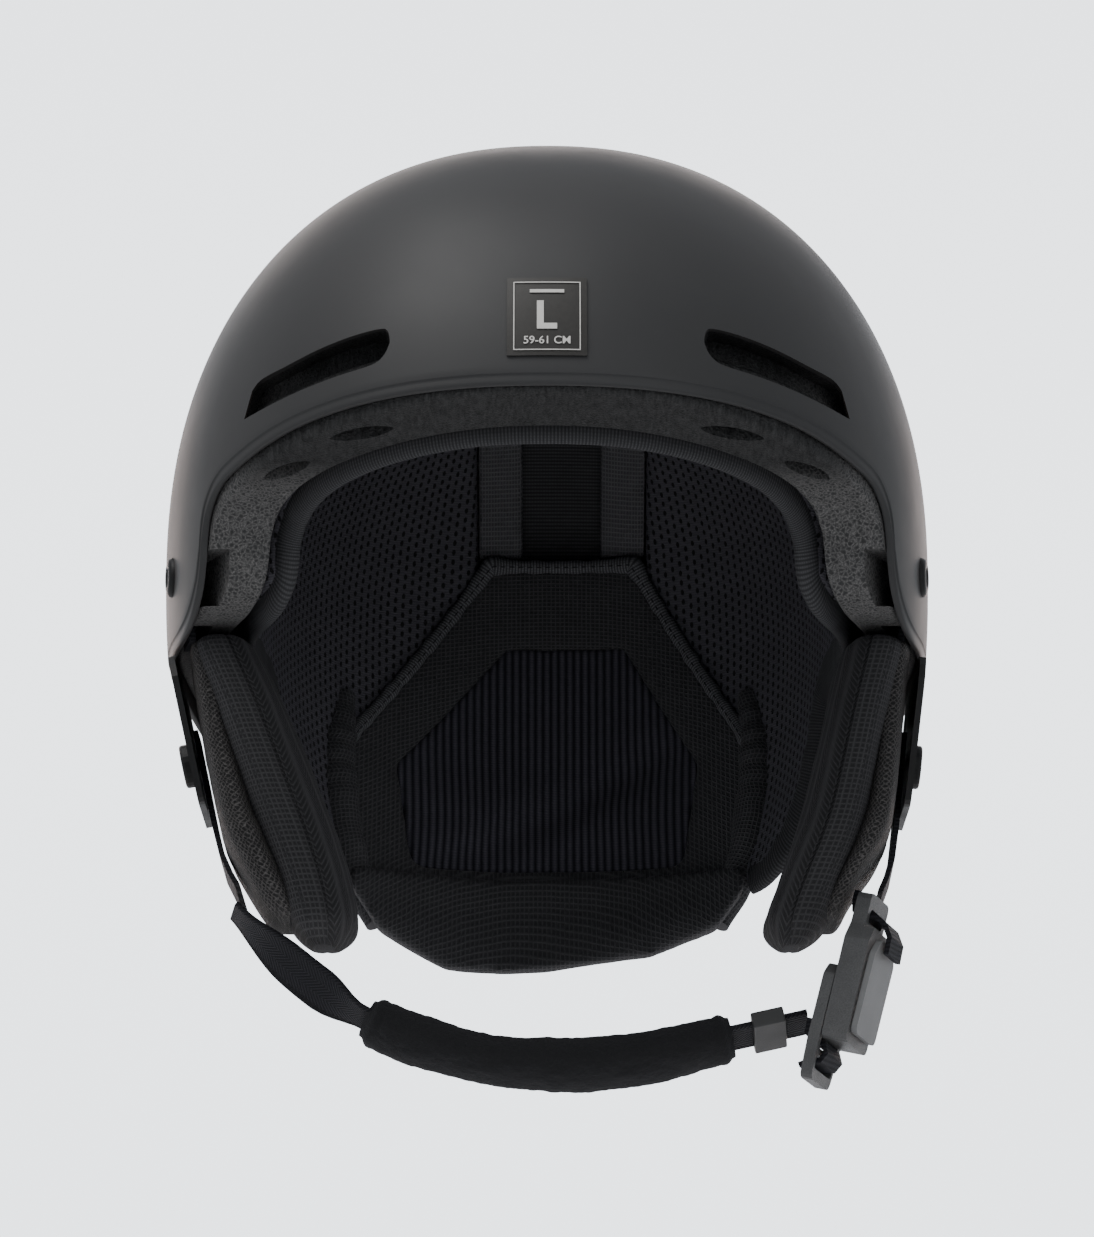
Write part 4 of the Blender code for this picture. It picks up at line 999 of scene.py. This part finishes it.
def brow_border():
    """The padded jersey border sewn round the front of the liner."""
    surface = inside_foam(LINER_STANDOFF + LINER_PAD - 1.2)
    path = edge_path(2.0, surface)
    for k in (1, 2):
        path[:, k] = np.convolve(np.pad(path[:, k], 4, "edge"), np.full(9, 1 / 9), "valid")
    along = np.gradient(path, axis=0)
    along /= np.linalg.norm(along, axis=1, keepdims=True)
    inward = -outward(path)
    inward -= along * (inward * along).sum(1, keepdims=True)
    inward /= np.linalg.norm(inward, axis=1, keepdims=True)
    side = np.cross(along, inward)
    turn = np.linspace(0, 2 * math.pi, 28, endpoint=False)
    c, s = np.cos(turn), np.sin(turn)
    u = np.sign(c) * np.abs(c) ** 0.8 * BORDER_HALF
    v = np.sign(s) * np.abs(s) ** 0.9 * 2.8
    run = np.arange(len(path)) * 1.5
    pucker = 1 + 0.05 * np.sin(run / 1.9) * np.sin(run / 7.3)
    rings = path[:, None] + side[:, None] * u[None, :, None]
    rings = rings + inward[:, None] * (v[None, :] * pucker[:, None])[..., None]
    weave = np.stack(np.broadcast_arrays(turn[None] * 5.0, run[:, None]), -1)
    border = loft("brow_border", rings, KNIT, 70, weave)
    belongs(border, "helmet", "black_knit", "brow_binding")
    seam = path + side * (BORDER_HALF - 0.2) + inward * 1.1
    if (seam[len(seam) // 2, 1] - path[len(path) // 2, 1]) < 0:
        seam = path - side * (BORDER_HALF - 0.2) + inward * 1.1
    belongs(stitches("border_stitching", seam, inward, THREAD, 3.0, 1.9, 0.2), "helmet", "black_knit")


def panels():
    for side, tag in SIDES:
        panel = soft_copy(f"side_mesh_{tag}", [f"mesh_panel_{tag}"], 1.5, MESH_CLOTH, 5)
        crowned(panel, 1.3, 7.0, 3.0 * side)
        set_weave(panel, round_the_head(points_of(panel)))
        belongs(panel, "helmet", "spacer_mesh", f"mesh_panel_{tag}")
        band = soft_copy(f"top_band_{tag}", [f"crown_band_{tag}"], 1.2, BAND_CLOTH, 4)
        crowned(band, 0.7, 3.0, 5.0 * side, 0.12)
        p = points_of(band)
        set_weave(band, np.stack([p[:, 0], np.arctan2(p[:, 1], p[:, 2] - 20) * 100], -1))
        belongs(band, "helmet", "waffle_fabric", f"crown_band_{tag}")


def over_the_top(x, turn, surface):
    """Points this far from the middle, where rays at these angles in the side view meet the surface."""
    wide, long, rise = surface
    x, turn = np.broadcast_arrays(np.asarray(x, float), np.asarray(turn, float))
    near, far = np.zeros(x.shape), np.full(x.shape, 2 * long)
    for _ in range(40):
        middle = (near + far) / 2
        y, z = -middle * np.cos(turn), middle * np.sin(turn)
        tall = np.where(z >= 0, rise, fall_at(y / long))
        flat = x / (1 + EGG * y / HALF_LENGTH)
        plan = np.abs(flat / wide) ** PLAN_POWER + np.abs(y / long) ** PLAN_POWER
        inside = plan ** (RISE_POWER / PLAN_POWER) + np.abs(z / tall) ** RISE_POWER < 1
        near, far = np.where(inside, middle, near), np.where(inside, far, middle)
    return np.stack([x, -near * np.cos(turn), WIDEST_LEVEL + near * np.sin(turn)], -1)


def crown_channel():
    """The recessed jersey strip between the two crown bands."""
    half = BAND_INNER + 1.5
    x, turn = np.meshgrid(np.linspace(-half, half, 25) + LINER_SHIFT, np.radians(np.linspace(18, 172, 150)))
    faces = [over_the_top(x, turn, inside_foam(depth)) for depth in (1.9, 0.5)]
    strip = sheet("crown_channel", faces, KNIT)
    run = np.stack([x, turn * 92.0], -1).reshape(-1, 2)
    set_weave(strip, np.vstack([run, run]))
    belongs(strip, "helmet", "black_knit")


def flap_line():
    """The back flap's top outline, seen from behind."""
    return [(-61.0, 6.0), (LINER_SHIFT - 22.0, FLAP_TOP), (LINER_SHIFT + 22.0, FLAP_TOP), (61.0, 6.0)]


def back_frame():
    """The waffle frame round the rib window and the roll at the nape, sewn in one."""
    flap = soft_copy("back_frame", ["back_flap", "neck_roll"], 1.5, WAFFLE, 7, 0.35)
    crowned(flap, 1.6, 6.0, 11.0, 0.7, 24.0)
    p = points_of(flap)
    sag = 1.3 * bell(p[:, 2] - ROLL_TOP - 1.0, 4.0) * (0.6 + 0.4 * np.sin(p[:, 0] / 7.0))
    level = p[:, 2] + 2.0 * np.sin(p[:, 0] / 17.0) * smoothstep(ROLL_TOP + 8, ROLL_TOP - 22, p[:, 2])
    p = p + outward(p) * sag[:, None] * 0.5
    p[:, 2] = level
    move_points(flap, p)
    set_weave(flap, np.stack([p[:, 0], p[:, 2] - 0.6 * (p[:, 1] - 100)], -1))
    belongs(flap, "helmet", "waffle_fabric", "back_flap", "neck_roll")


def rib_window():
    """The ribbed spacer cloth in the frame, billowing a little."""
    ribs = soft_copy("rib_window", ["rib_panel"], 1.2, RIB_CLOTH, 3, 0.5)
    p = points_of(ribs)
    facing = smoothstep(0.3, 0.8, (normals_of(ribs) * -outward(p)).sum(1))
    billow = 3.0 * bell(np.hypot(p[:, 0] + 20, (p[:, 2] + 16) * 1.3), 22)
    billow += 2.2 * bell(np.hypot(p[:, 0] - 18, (p[:, 2] + 14) * 1.6), 17)
    billow -= 2.4 * bell((p[:, 0] - p[:, 2] * 1.6 - 22) / 1.9, 6) * bell(p[:, 2] + 12, 22)
    move_points(ribs, p - outward(p) * (billow * facing)[:, None])
    set_weave(ribs, p[:, [0, 2]])
    belongs(ribs, "helmet", "spacer_mesh", "rib_panel")


def flap_trim():
    """Knitted piping over the frame's top edge, bulky where it folds at the corners."""
    surface = inside_foam(LINER_STANDOFF + FLAP_PAD + 1.9)
    line = respaced(flap_line(), 1.0)
    x, z = line[:, 0], line[:, 1]
    path = np.stack([x, depth_at(x, z, surface), z], -1)
    run = np.arange(len(path)) * 1.0
    wide = 2.0 + 0.25 * np.sin(run / 1.3) * np.sin(run / 5.1)
    corner = np.array(flap_line())
    for cx, cz in corner:
        wide += 0.9 * bell(np.hypot(x - cx, z - cz), 6.0)
    trim = tube("flap_trim", path, wide, TRIM_KNIT, 16)
    belongs(trim, "helmet", "black_knit", "liner_trim")
    lead = -outward(path)
    seam = path + lead * (wide[:, None] + 0.05)
    belongs(stitches("trim_stitching", seam, lead, THREAD, 2.8, 1.7, 0.2), "helmet", "black_knit")


def side_folds():
    """The padded folds that run down beside the frame to the nape."""
    for side, tag in SIDES:
        line = spline([(61, 22), (63.5, 6), (63, -10), (60.5, -26), (56, -40), (51, -52)], 14)
        x, z = side * line[:, 0], line[:, 1]
        path = respaced(np.stack([x, depth_at(x, z, inside_foam(8.0)), z], -1), 0.9)
        share = np.linspace(0, 1, len(path))
        run = np.arange(len(path)) * 0.9
        girth = 6.2 * np.sin(np.pi * (0.12 + 0.78 * share)) ** 0.6
        girth += 0.35 * np.sin(run / 1.1) * bell(share - 0.25, 0.2)
        fold = tube(f"side_fold_{tag}", path, girth, WAFFLE, 40)
        flat = points_of(fold)
        move_points(fold, flat + outward(flat) * (0.8 * ripple(flat, 11.0, 3.0 * side))[:, None])
        belongs(fold, "helmet", "waffle_fabric")


# ---------------------------------------------------------------- ear flaps

def sections(node):
    """The levels at which a CAD pad has points, with its extent in X and Y at each."""
    points = points_of(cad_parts[node])
    order = points[np.argsort(points[:, 2])]
    groups = np.split(order, np.flatnonzero(np.diff(order[:, 2]) > 0.2) + 1)
    return np.array([
        (g[:, 2].mean(), g[:, 0].min(), g[:, 0].max(), g[:, 1].min(), g[:, 1].max()) for g in groups
    ])


def pad_rings(rows, spacing, cols, power, ends, blunt, seams=()):
    """Rings of a soft pad through its sections, with sewn lines pulled in. seams: (turn, depth, width)."""
    rows = spline(rows, 16)
    levels = np.arange(rows[0, 0], rows[-1, 0], spacing)
    rows = np.column_stack([levels] + [np.interp(levels, rows[:, 0], rows[:, k]) for k in range(1, 5)])
    turn = np.linspace(0, 2 * math.pi, cols, endpoint=False)
    c, s = np.cos(turn), np.sin(turn)
    across = np.sign(c) * np.abs(c) ** (2 / power)
    along = np.sign(s) * np.abs(s) ** (2 / power)
    rings, weave = [], []
    for z, x0, x1, y0, y1 in rows:
        near = min(z - rows[0, 0], rows[-1, 0] - z)
        close = math.sqrt(max(0.0, 1 - (1 - min(near / ends, 1.0)) ** 2)) * (1 - blunt) + blunt
        centre = np.array([(x0 + x1) / 2, (y0 + y1) / 2, z])
        half = np.array([(x1 - x0) / 2, (y1 - y0) / 2]) * close
        ring = np.stack([across * half[0], along * half[1], np.zeros(cols)], -1)
        size = np.linalg.norm(ring, axis=1)
        pull = np.zeros(cols)
        for place, depth, width in seams:
            off = np.angle(np.exp(1j * (turn - place))) * size
            pull += depth * bell(off, width)
        ring *= (1 - np.minimum(pull / np.maximum(size, 1e-6), 0.5))[:, None]
        rings.append(ring + centre)
        step = np.linalg.norm(np.diff(np.vstack([ring, ring[:1]]), axis=0), axis=1)
        run = np.roll(np.cumsum(np.roll(step, -(cols // 4))), cols // 4)
        weave.append(np.stack([run - run[cols * 3 // 4], np.full(cols, z)], -1))
    return np.array(rings), np.array(weave), turn


def creased(rings, coarse, fine, seed):
    """Rings with soft creases and small puckers pushed into them."""
    centre = rings.mean(1, keepdims=True)
    away = rings - centre
    away /= np.linalg.norm(away, axis=2, keepdims=True)
    flat = rings.reshape(-1, 3)
    crease = ripple(flat, 19.0, seed) * coarse + ripple(flat, 6.0, seed + 7) * fine
    return rings + away * crease.reshape(*rings.shape[:2], 1), away


def ear_cushion(side, tag):
    """The thick pad: waffle gusset round the rim, chevron cloth on the face that meets the ear."""
    rows = sections(f"ear_cushion_{tag}")
    rows[-1, 0] += 1.6
    outer = 2 if side > 0 else 1
    rows[:, outer] -= side * (1.5 - 4.0 * smoothstep(-25, 8, rows[:, 0]))
    front, back = -math.pi / 2, math.pi / 2
    seam = front - side * 0.10
    lines = [(seam, 1.2, 1.0), (back, 1.2, 1.0)]
    lines += [(front + side * turn, 0.35, 0.55) for turn in (0.30, 0.36)]
    rings, weave, turn = pad_rings(rows, 0.9, 220, 2.9, 6.0, 0.45, lines)
    rings, away = creased(rings, 0.55, 0.16, 2.0 * side)
    rows, cols = rings.shape[:2]
    cushion = loft(f"ear_cushion_soft_{tag}", rings, EAR_CLOTH, 80, weave)
    cushion.data.materials.append(CHEVRON_CLOTH)
    inside = np.cos(turn - (seam - front)) * side < 0
    index = np.zeros(len(cushion.data.polygons), np.int32)
    for k, polygon in enumerate(cushion.data.polygons):
        corner = polygon.vertices[0]
        if corner < rows * cols and inside[corner % cols]:
            index[k] = 1
    cushion.data.polygons.foreach_set("material_index", index)
    belongs(cushion, f"ear_flap_{tag}", "waffle_fabric", f"ear_cushion_{tag}")
    for number, place in enumerate((seam - side * 0.05, front + side * 0.30, front + side * 0.36)):
        column = int(round((place % (2 * math.pi)) / (2 * math.pi) * cols)) % cols
        line, lead = rings[5:-5, column], away[5:-5, column]
        sewn = stitches(f"ear_stitching_{number}_{tag}", line, lead, THREAD, 2.4, 1.6, 0.2)
        belongs(sewn, f"ear_flap_{tag}", "black_knit")


def ear_backing(side, tag):
    """The wiry knit that covers the pad's outer face, out to the plate."""
    rows, cushion = sections(f"ear_backing_{tag}"), sections(f"ear_cushion_{tag}")
    inner, outer = (1, 2) if side > 0 else (2, 1)
    rows[-1, 0] += 4.5
    rows[-3:, 3:] = rows[-4, 3:]
    edge = np.interp(rows[:, 0], cushion[:, 0], cushion[:, outer])
    rows[:, inner] = edge - side * 5.0
    rows[:, outer] = side * np.maximum(side * rows[:, outer], side * edge + 2.0)
    rings, weave, _ = pad_rings(rows, 0.8, 160, 3.4, 4.0, 0.7)
    rings, _ = creased(rings, 0.35, 0.3, 5.0 * side)
    backing = loft(f"ear_backing_soft_{tag}", rings, COARSE_KNIT, 80, weave)
    belongs(backing, f"ear_flap_{tag}", "black_knit", f"ear_backing_{tag}")


def ear_pads():
    for side, tag in SIDES:
        ear_cushion(side, tag)
        ear_backing(side, tag)


def turned(name, profile, frame_at, look, steps=48):
    """A turned piece: rings of (radius, height) about the frame's Z."""
    turn = np.linspace(0, 2 * math.pi, steps, endpoint=False)
    rings = [[frame_at @ Vector((r * math.cos(t), r * math.sin(t), h)) for t in turn] for r, h in profile]
    return loft(name, np.array(rings), look, 35)


def rivet_profile(radius, head):
    """A low domed head with a rolled rim and a shallow dimple."""
    shares = ((1.0, 0.15), (0.97, 0.45), (0.88, 0.78), (0.74, 0.95), (0.6, 1.0), (0.5, 0.93), (0.42, 0.72),
              (0.2, 0.66), (0.05, 0.65))
    return [(radius * 0.5, -1.2), (radius * 0.99, -1.1), *((radius * r, head * h) for r, h in shares)]


def facing_frame(point, direction):
    """A frame at a point, its Z along this direction."""
    turn = Vector(direction).to_track_quat("Z", "Y").to_matrix()
    return Matrix.Translation(Vector(point)) @ turn.to_4x4()


def rivets():
    for side, tag in SIDES:
        for place, y, z in RIVET_PLACES:
            at = np.array([[side * float(half_width(y, z, OUTER)), y, z]])
            profile, frame_at = rivet_profile(RIVET_RADIUS, RIVET_HEAD), facing_frame(at[0], outward(at)[0])
            piece = turned(f"{place}_rivet_cap_{tag}", profile, frame_at, BLACK_PLASTIC)
            belongs(piece, "helmet", "black_plastic", f"{place}_rivet_{tag}")


# ---------------------------------------------------------------- chin strap

def chin_line():
    return np.array([(x, STRAP_Y, z) for x, z in spline(CHIN_ROUTE, 6)])


def across_chin(twist=0.0):
    tilt = np.radians(STRAP_TILT + np.asarray(twist, float))
    return np.stack([0 * tilt, np.cos(tilt), -np.sin(tilt)], -1)


def chin_web():
    """The webbing, from the wearer's right ear flap to the buckle's slider, twisted beside the flap."""
    whole = np.vstack([chin_line(), STRAP_END])
    twist = 34.0 * smoothstep(-89, -72, whole[:, 0]) * smoothstep(-52, -64, whole[:, 0])
    strap = ribbon("chin_strap_web", whole, across_chin(twist), WEB_WIDTH, WEB_WALL, WEBBING)
    belongs(strap, "chin_strap", "webbing", "chin_webbing")


def chin_pad():
    """The fleece pad round the webbing, gathered at its ends."""
    line = chin_line()
    path = respaced(line[(line[:, 0] > PAD_SPAN[0] - 4) & (line[:, 0] < PAD_SPAN[1] + 4)], 0.9)
    path = path[(path[:, 0] >= PAD_SPAN[0]) & (path[:, 0] <= PAD_SPAN[1])]
    _, side, up = frames_along(path, across_chin())
    turn = np.linspace(0, 2 * math.pi, 96, endpoint=False)
    run = np.arange(len(path)) * 0.9
    near = np.minimum(run, run[-1] - run)
    neck = 0.80 + 0.20 * smoothstep(0.0, 3.2, near) - 0.05 * bell(near - 4.6, 1.0)
    neck[near < 1.2] *= 0.93
    wide = PAD_WIDTH / 2 * neck
    thick = PAD_THICK / 2 * neck
    rings = (
        path[:, None] + side[:, None] * (np.cos(turn)[None] * wide[:, None])[..., None]
        + up[:, None] * (np.sin(turn)[None] * thick[:, None])[..., None]
    )
    flat = rings.reshape(-1, 3)
    nap = ripple(flat, 15.0, 4.0) * 0.5 + ripple(flat, 4.2, 7.0) * 0.22 + ripple(flat, 1.4, 1.0) * 0.13
    away = rings - path[:, None]
    away /= np.linalg.norm(away, axis=2, keepdims=True)
    rings = rings + away * nap.reshape(len(path), 96, 1)
    weave = np.stack(np.broadcast_arrays(turn[None] * 8.0, run[:, None]), -1)
    pad = loft("chin_pad_fleece", rings, FLEECE, 80, weave)
    belongs(pad, "chin_strap", "fleece", "chin_pad")


# ---------------------------------------------------------------- label

def on_front(points, lift):
    """Points of the front view laid on the shell's front, this far off it."""
    surface = tuple(size + lift for size in OUTER)
    points = np.asarray(points, float)
    return np.column_stack([points[:, 0], depth_at(points[:, 0], points[:, 1], surface, -1), points[:, 1]])


def film(name, low, high, lift, wall, look):
    """A thin rectangular film on the shell's front."""
    x, z = np.meshgrid(np.linspace(low[0], high[0], 24), np.linspace(low[1], high[1], 26))
    flat = np.column_stack([x.ravel(), z.ravel()])
    return sheet(name, [on_front(flat, lift + part).reshape(26, 24, 3) for part in (wall, 0.0)], look)


def lettering(name, text, height, centre, bold=0.0):
    """Generic size lettering, laid on the label."""
    curve = bpy.data.curves.new(name, "FONT")
    curve.body = text
    curve.size = 1.0
    curve.offset = bold
    curve.align_x = "CENTER"
    curve.resolution_u = 6
    obj = added(name, curve)
    bpy.context.view_layer.update()
    mesh = bpy.data.meshes.new_from_object(obj.evaluated_get(bpy.context.evaluated_depsgraph_get()))
    bpy.data.objects.remove(obj)
    bm = bmesh.new()
    bm.from_mesh(mesh)
    bmesh.ops.triangulate(bm, faces=bm.faces)
    flat = np.array([v.co[:2] for v in bm.verts])
    size = np.ptp(flat[:, 1])
    flat = (flat - (flat.max(0) + flat.min(0)) / 2) * height / size + centre
    placed = on_front(flat, LABEL_TOP + INK_WALL)
    for vertex, point in zip(bm.verts, placed):
        vertex.co = Vector(point) * MM
    mesh.materials.clear()
    bm.to_mesh(mesh)
    bm.free()
    mesh.materials.append(LABEL_INK)
    belongs(added(name, mesh), "helmet", "label_film")


def size_label():
    plate = film("label_plate", LABEL_LOW, LABEL_HIGH, GAP * 0.2, 0.55, LABEL_FILM)
    belongs(plate, "helmet", "label_film", "size_label")
    (left, foot), (right, top) = FRAME_LOW, FRAME_HIGH
    bars = (
        (FRAME_LOW, (right, foot + FRAME_LINE)), ((left, top - FRAME_LINE), FRAME_HIGH),
        (FRAME_LOW, (left + FRAME_LINE, top)), ((right - FRAME_LINE, foot), FRAME_HIGH), WORD_BAR,
    )
    for number, (low, high) in enumerate(bars):
        bar = film(f"label_line_{number}", low, high, LABEL_TOP + 0.02, INK_WALL, LABEL_INK)
        belongs(bar, "helmet", "label_film")
    lettering("label_size", "L", 8.6, (0.0, 78.4), 0.03)
    lettering("label_range", "59-61 CM", 2.3, (0.0, 70.8), 0.012)


# ---------------------------------------------------------------- carried-over CAD pieces

def plain_pieces():
    """CAD nodes whose shape is right: rounded edges and their own materials."""
    web = PLAIN_WEBBING
    looks = {
        "clip_base": (BLACK_PLASTIC, 0.5), "clip_stud": (STEEL, 0.3), "clip_button": (BLACK_PLASTIC, 0.4),
        "clip_band": (web, 0.4), "slider_webbing": (web, 0.3), "short_webbing": (web, 0.3),
        "strap_keeper": (GREY_PLASTIC, 0.35), "buckle_slider": (BUCKLE_PLASTIC, 0.5),
        "buckle_housing": (BUCKLE_PLASTIC, 0.7), "buckle_cover": (COVER_PLASTIC, 0.45),
        "slider_magnet": (STEEL, 0.2), "housing_magnet": (STEEL, 0.2),
    }
    for _, tag in SIDES:
        for place in ("front", "rear"):
            looks[f"{place}_washer_{tag}"] = (STEEL, 0.2)
            looks[f"{place}_tab_{tag}"] = (web, 0.3)
        for place in ("front", "crown", "rear"):
            looks[f"liner_dot_{place}_{tag}"] = (LOOP_FELT, 0.2)
        looks[f"ear_plate_{tag}"] = looks[f"ear_rivet_{tag}"] = (BLACK_PLASTIC, 0.5)
        looks[f"strap_loop_{tag}"] = (web, 0.3)
    for name, (look, round_by) in looks.items():
        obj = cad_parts[name]
        obj.data.materials.clear()
        obj.data.materials.append(look)
        obj.data.shade_smooth()
        obj.data.set_sharp_from_angle(angle=math.radians(30))
        softened(obj, round_by, 3, 30)


# ---------------------------------------------------------------- studio

def sky():
    """A pale world, brighter behind the helmet than round it."""
    world = bpy.data.worlds.new("studio")
    bpy.context.scene.world = world
    world.use_nodes = True
    tree = world.node_tree
    background = tree.nodes["Background"]
    kinds = ("TexCoord", "SeparateXYZ", "Math", "ValToRGB", "MapRange")
    coords, split, lift, ramp, behind = (tree.nodes.new(f"ShaderNode{kind}") for kind in kinds)
    lift.operation = "MULTIPLY_ADD"
    lift.inputs[1].default_value = lift.inputs[2].default_value = 0.5
    while len(ramp.color_ramp.elements) < len(SKY):
        ramp.color_ramp.elements.new(0.5)
    for element, (place, colour) in zip(ramp.color_ramp.elements, SKY):
        element.position = place
        element.color = (*colour, 1.0)
    behind.interpolation_type = "SMOOTHSTEP"
    limits = (BACKDROP_FROM, BACKDROP_TO, ROOM_STRENGTH, BACKDROP_STRENGTH)
    for socket, value in zip(behind.inputs[1:5], limits):
        socket.default_value = value
    for given, taken in (
        (coords.outputs["Generated"], split.inputs[0]), (split.outputs[2], lift.inputs[0]),
        (lift.outputs[0], ramp.inputs[0]), (ramp.outputs[0], background.inputs[0]),
        (split.outputs[1], behind.inputs[0]), (behind.outputs[0], background.inputs[1]),
    ):
        tree.links.new(given, taken)


def floor():
    mesh = bpy.data.meshes.new("floor")
    corners = [(x * FLOOR_HALF, y * FLOOR_HALF, FLOOR_LEVEL) for x, y in ((-1, -1), (1, -1), (1, 1), (-1, 1))]
    mesh.from_pydata(corners, [], [(0, 1, 2, 3)])
    pale = Look("floor", (0.90, 0.91, 0.92), 0.8)
    pale.colour(pale.blend((0.89, 0.90, 0.91), (0.91, 0.92, 0.93), pale.noise(pale.place(), 180.0)))
    mesh.materials.append(pale.material)
    added("floor", mesh)


def lamps():
    for name, place, target, size, power, colour in LAMPS:
        lamp = bpy.data.lights.new(name, "AREA")
        lamp.shape = "RECTANGLE"
        lamp.size, lamp.size_y = size
        lamp.energy = power
        lamp.color = colour
        holder = added(name, lamp)
        holder.location = place
        holder.rotation_euler = (Vector(target) - Vector(place)).to_track_quat("-Z", "Y").to_euler()


def camera():
    """Looks up into the helmet from the front, as the photograph does."""
    rise = math.radians(LENS_RISE)
    back = Vector((0.0, -math.cos(rise), -math.sin(rise)))
    lens = bpy.data.cameras.new("camera")
    lens.lens = LENS
    lens.sensor_width = SENSOR
    lens.clip_end = CLIP_END
    view = added("camera", lens)
    view.location = Vector(LENS_AIM) + back * LENS_DISTANCE
    view.rotation_euler = (-back).to_track_quat("-Z", "Y").to_euler()
    bpy.context.scene.camera = view


camera()
sky()
floor()
lamps()
shell_and_foam()
crown_channel()
panels()
back_frame()
rib_window()
flap_trim()
side_folds()
brow_border()
ear_pads()
rivets()
chin_web()
chin_pad()
size_label()
plain_pieces()
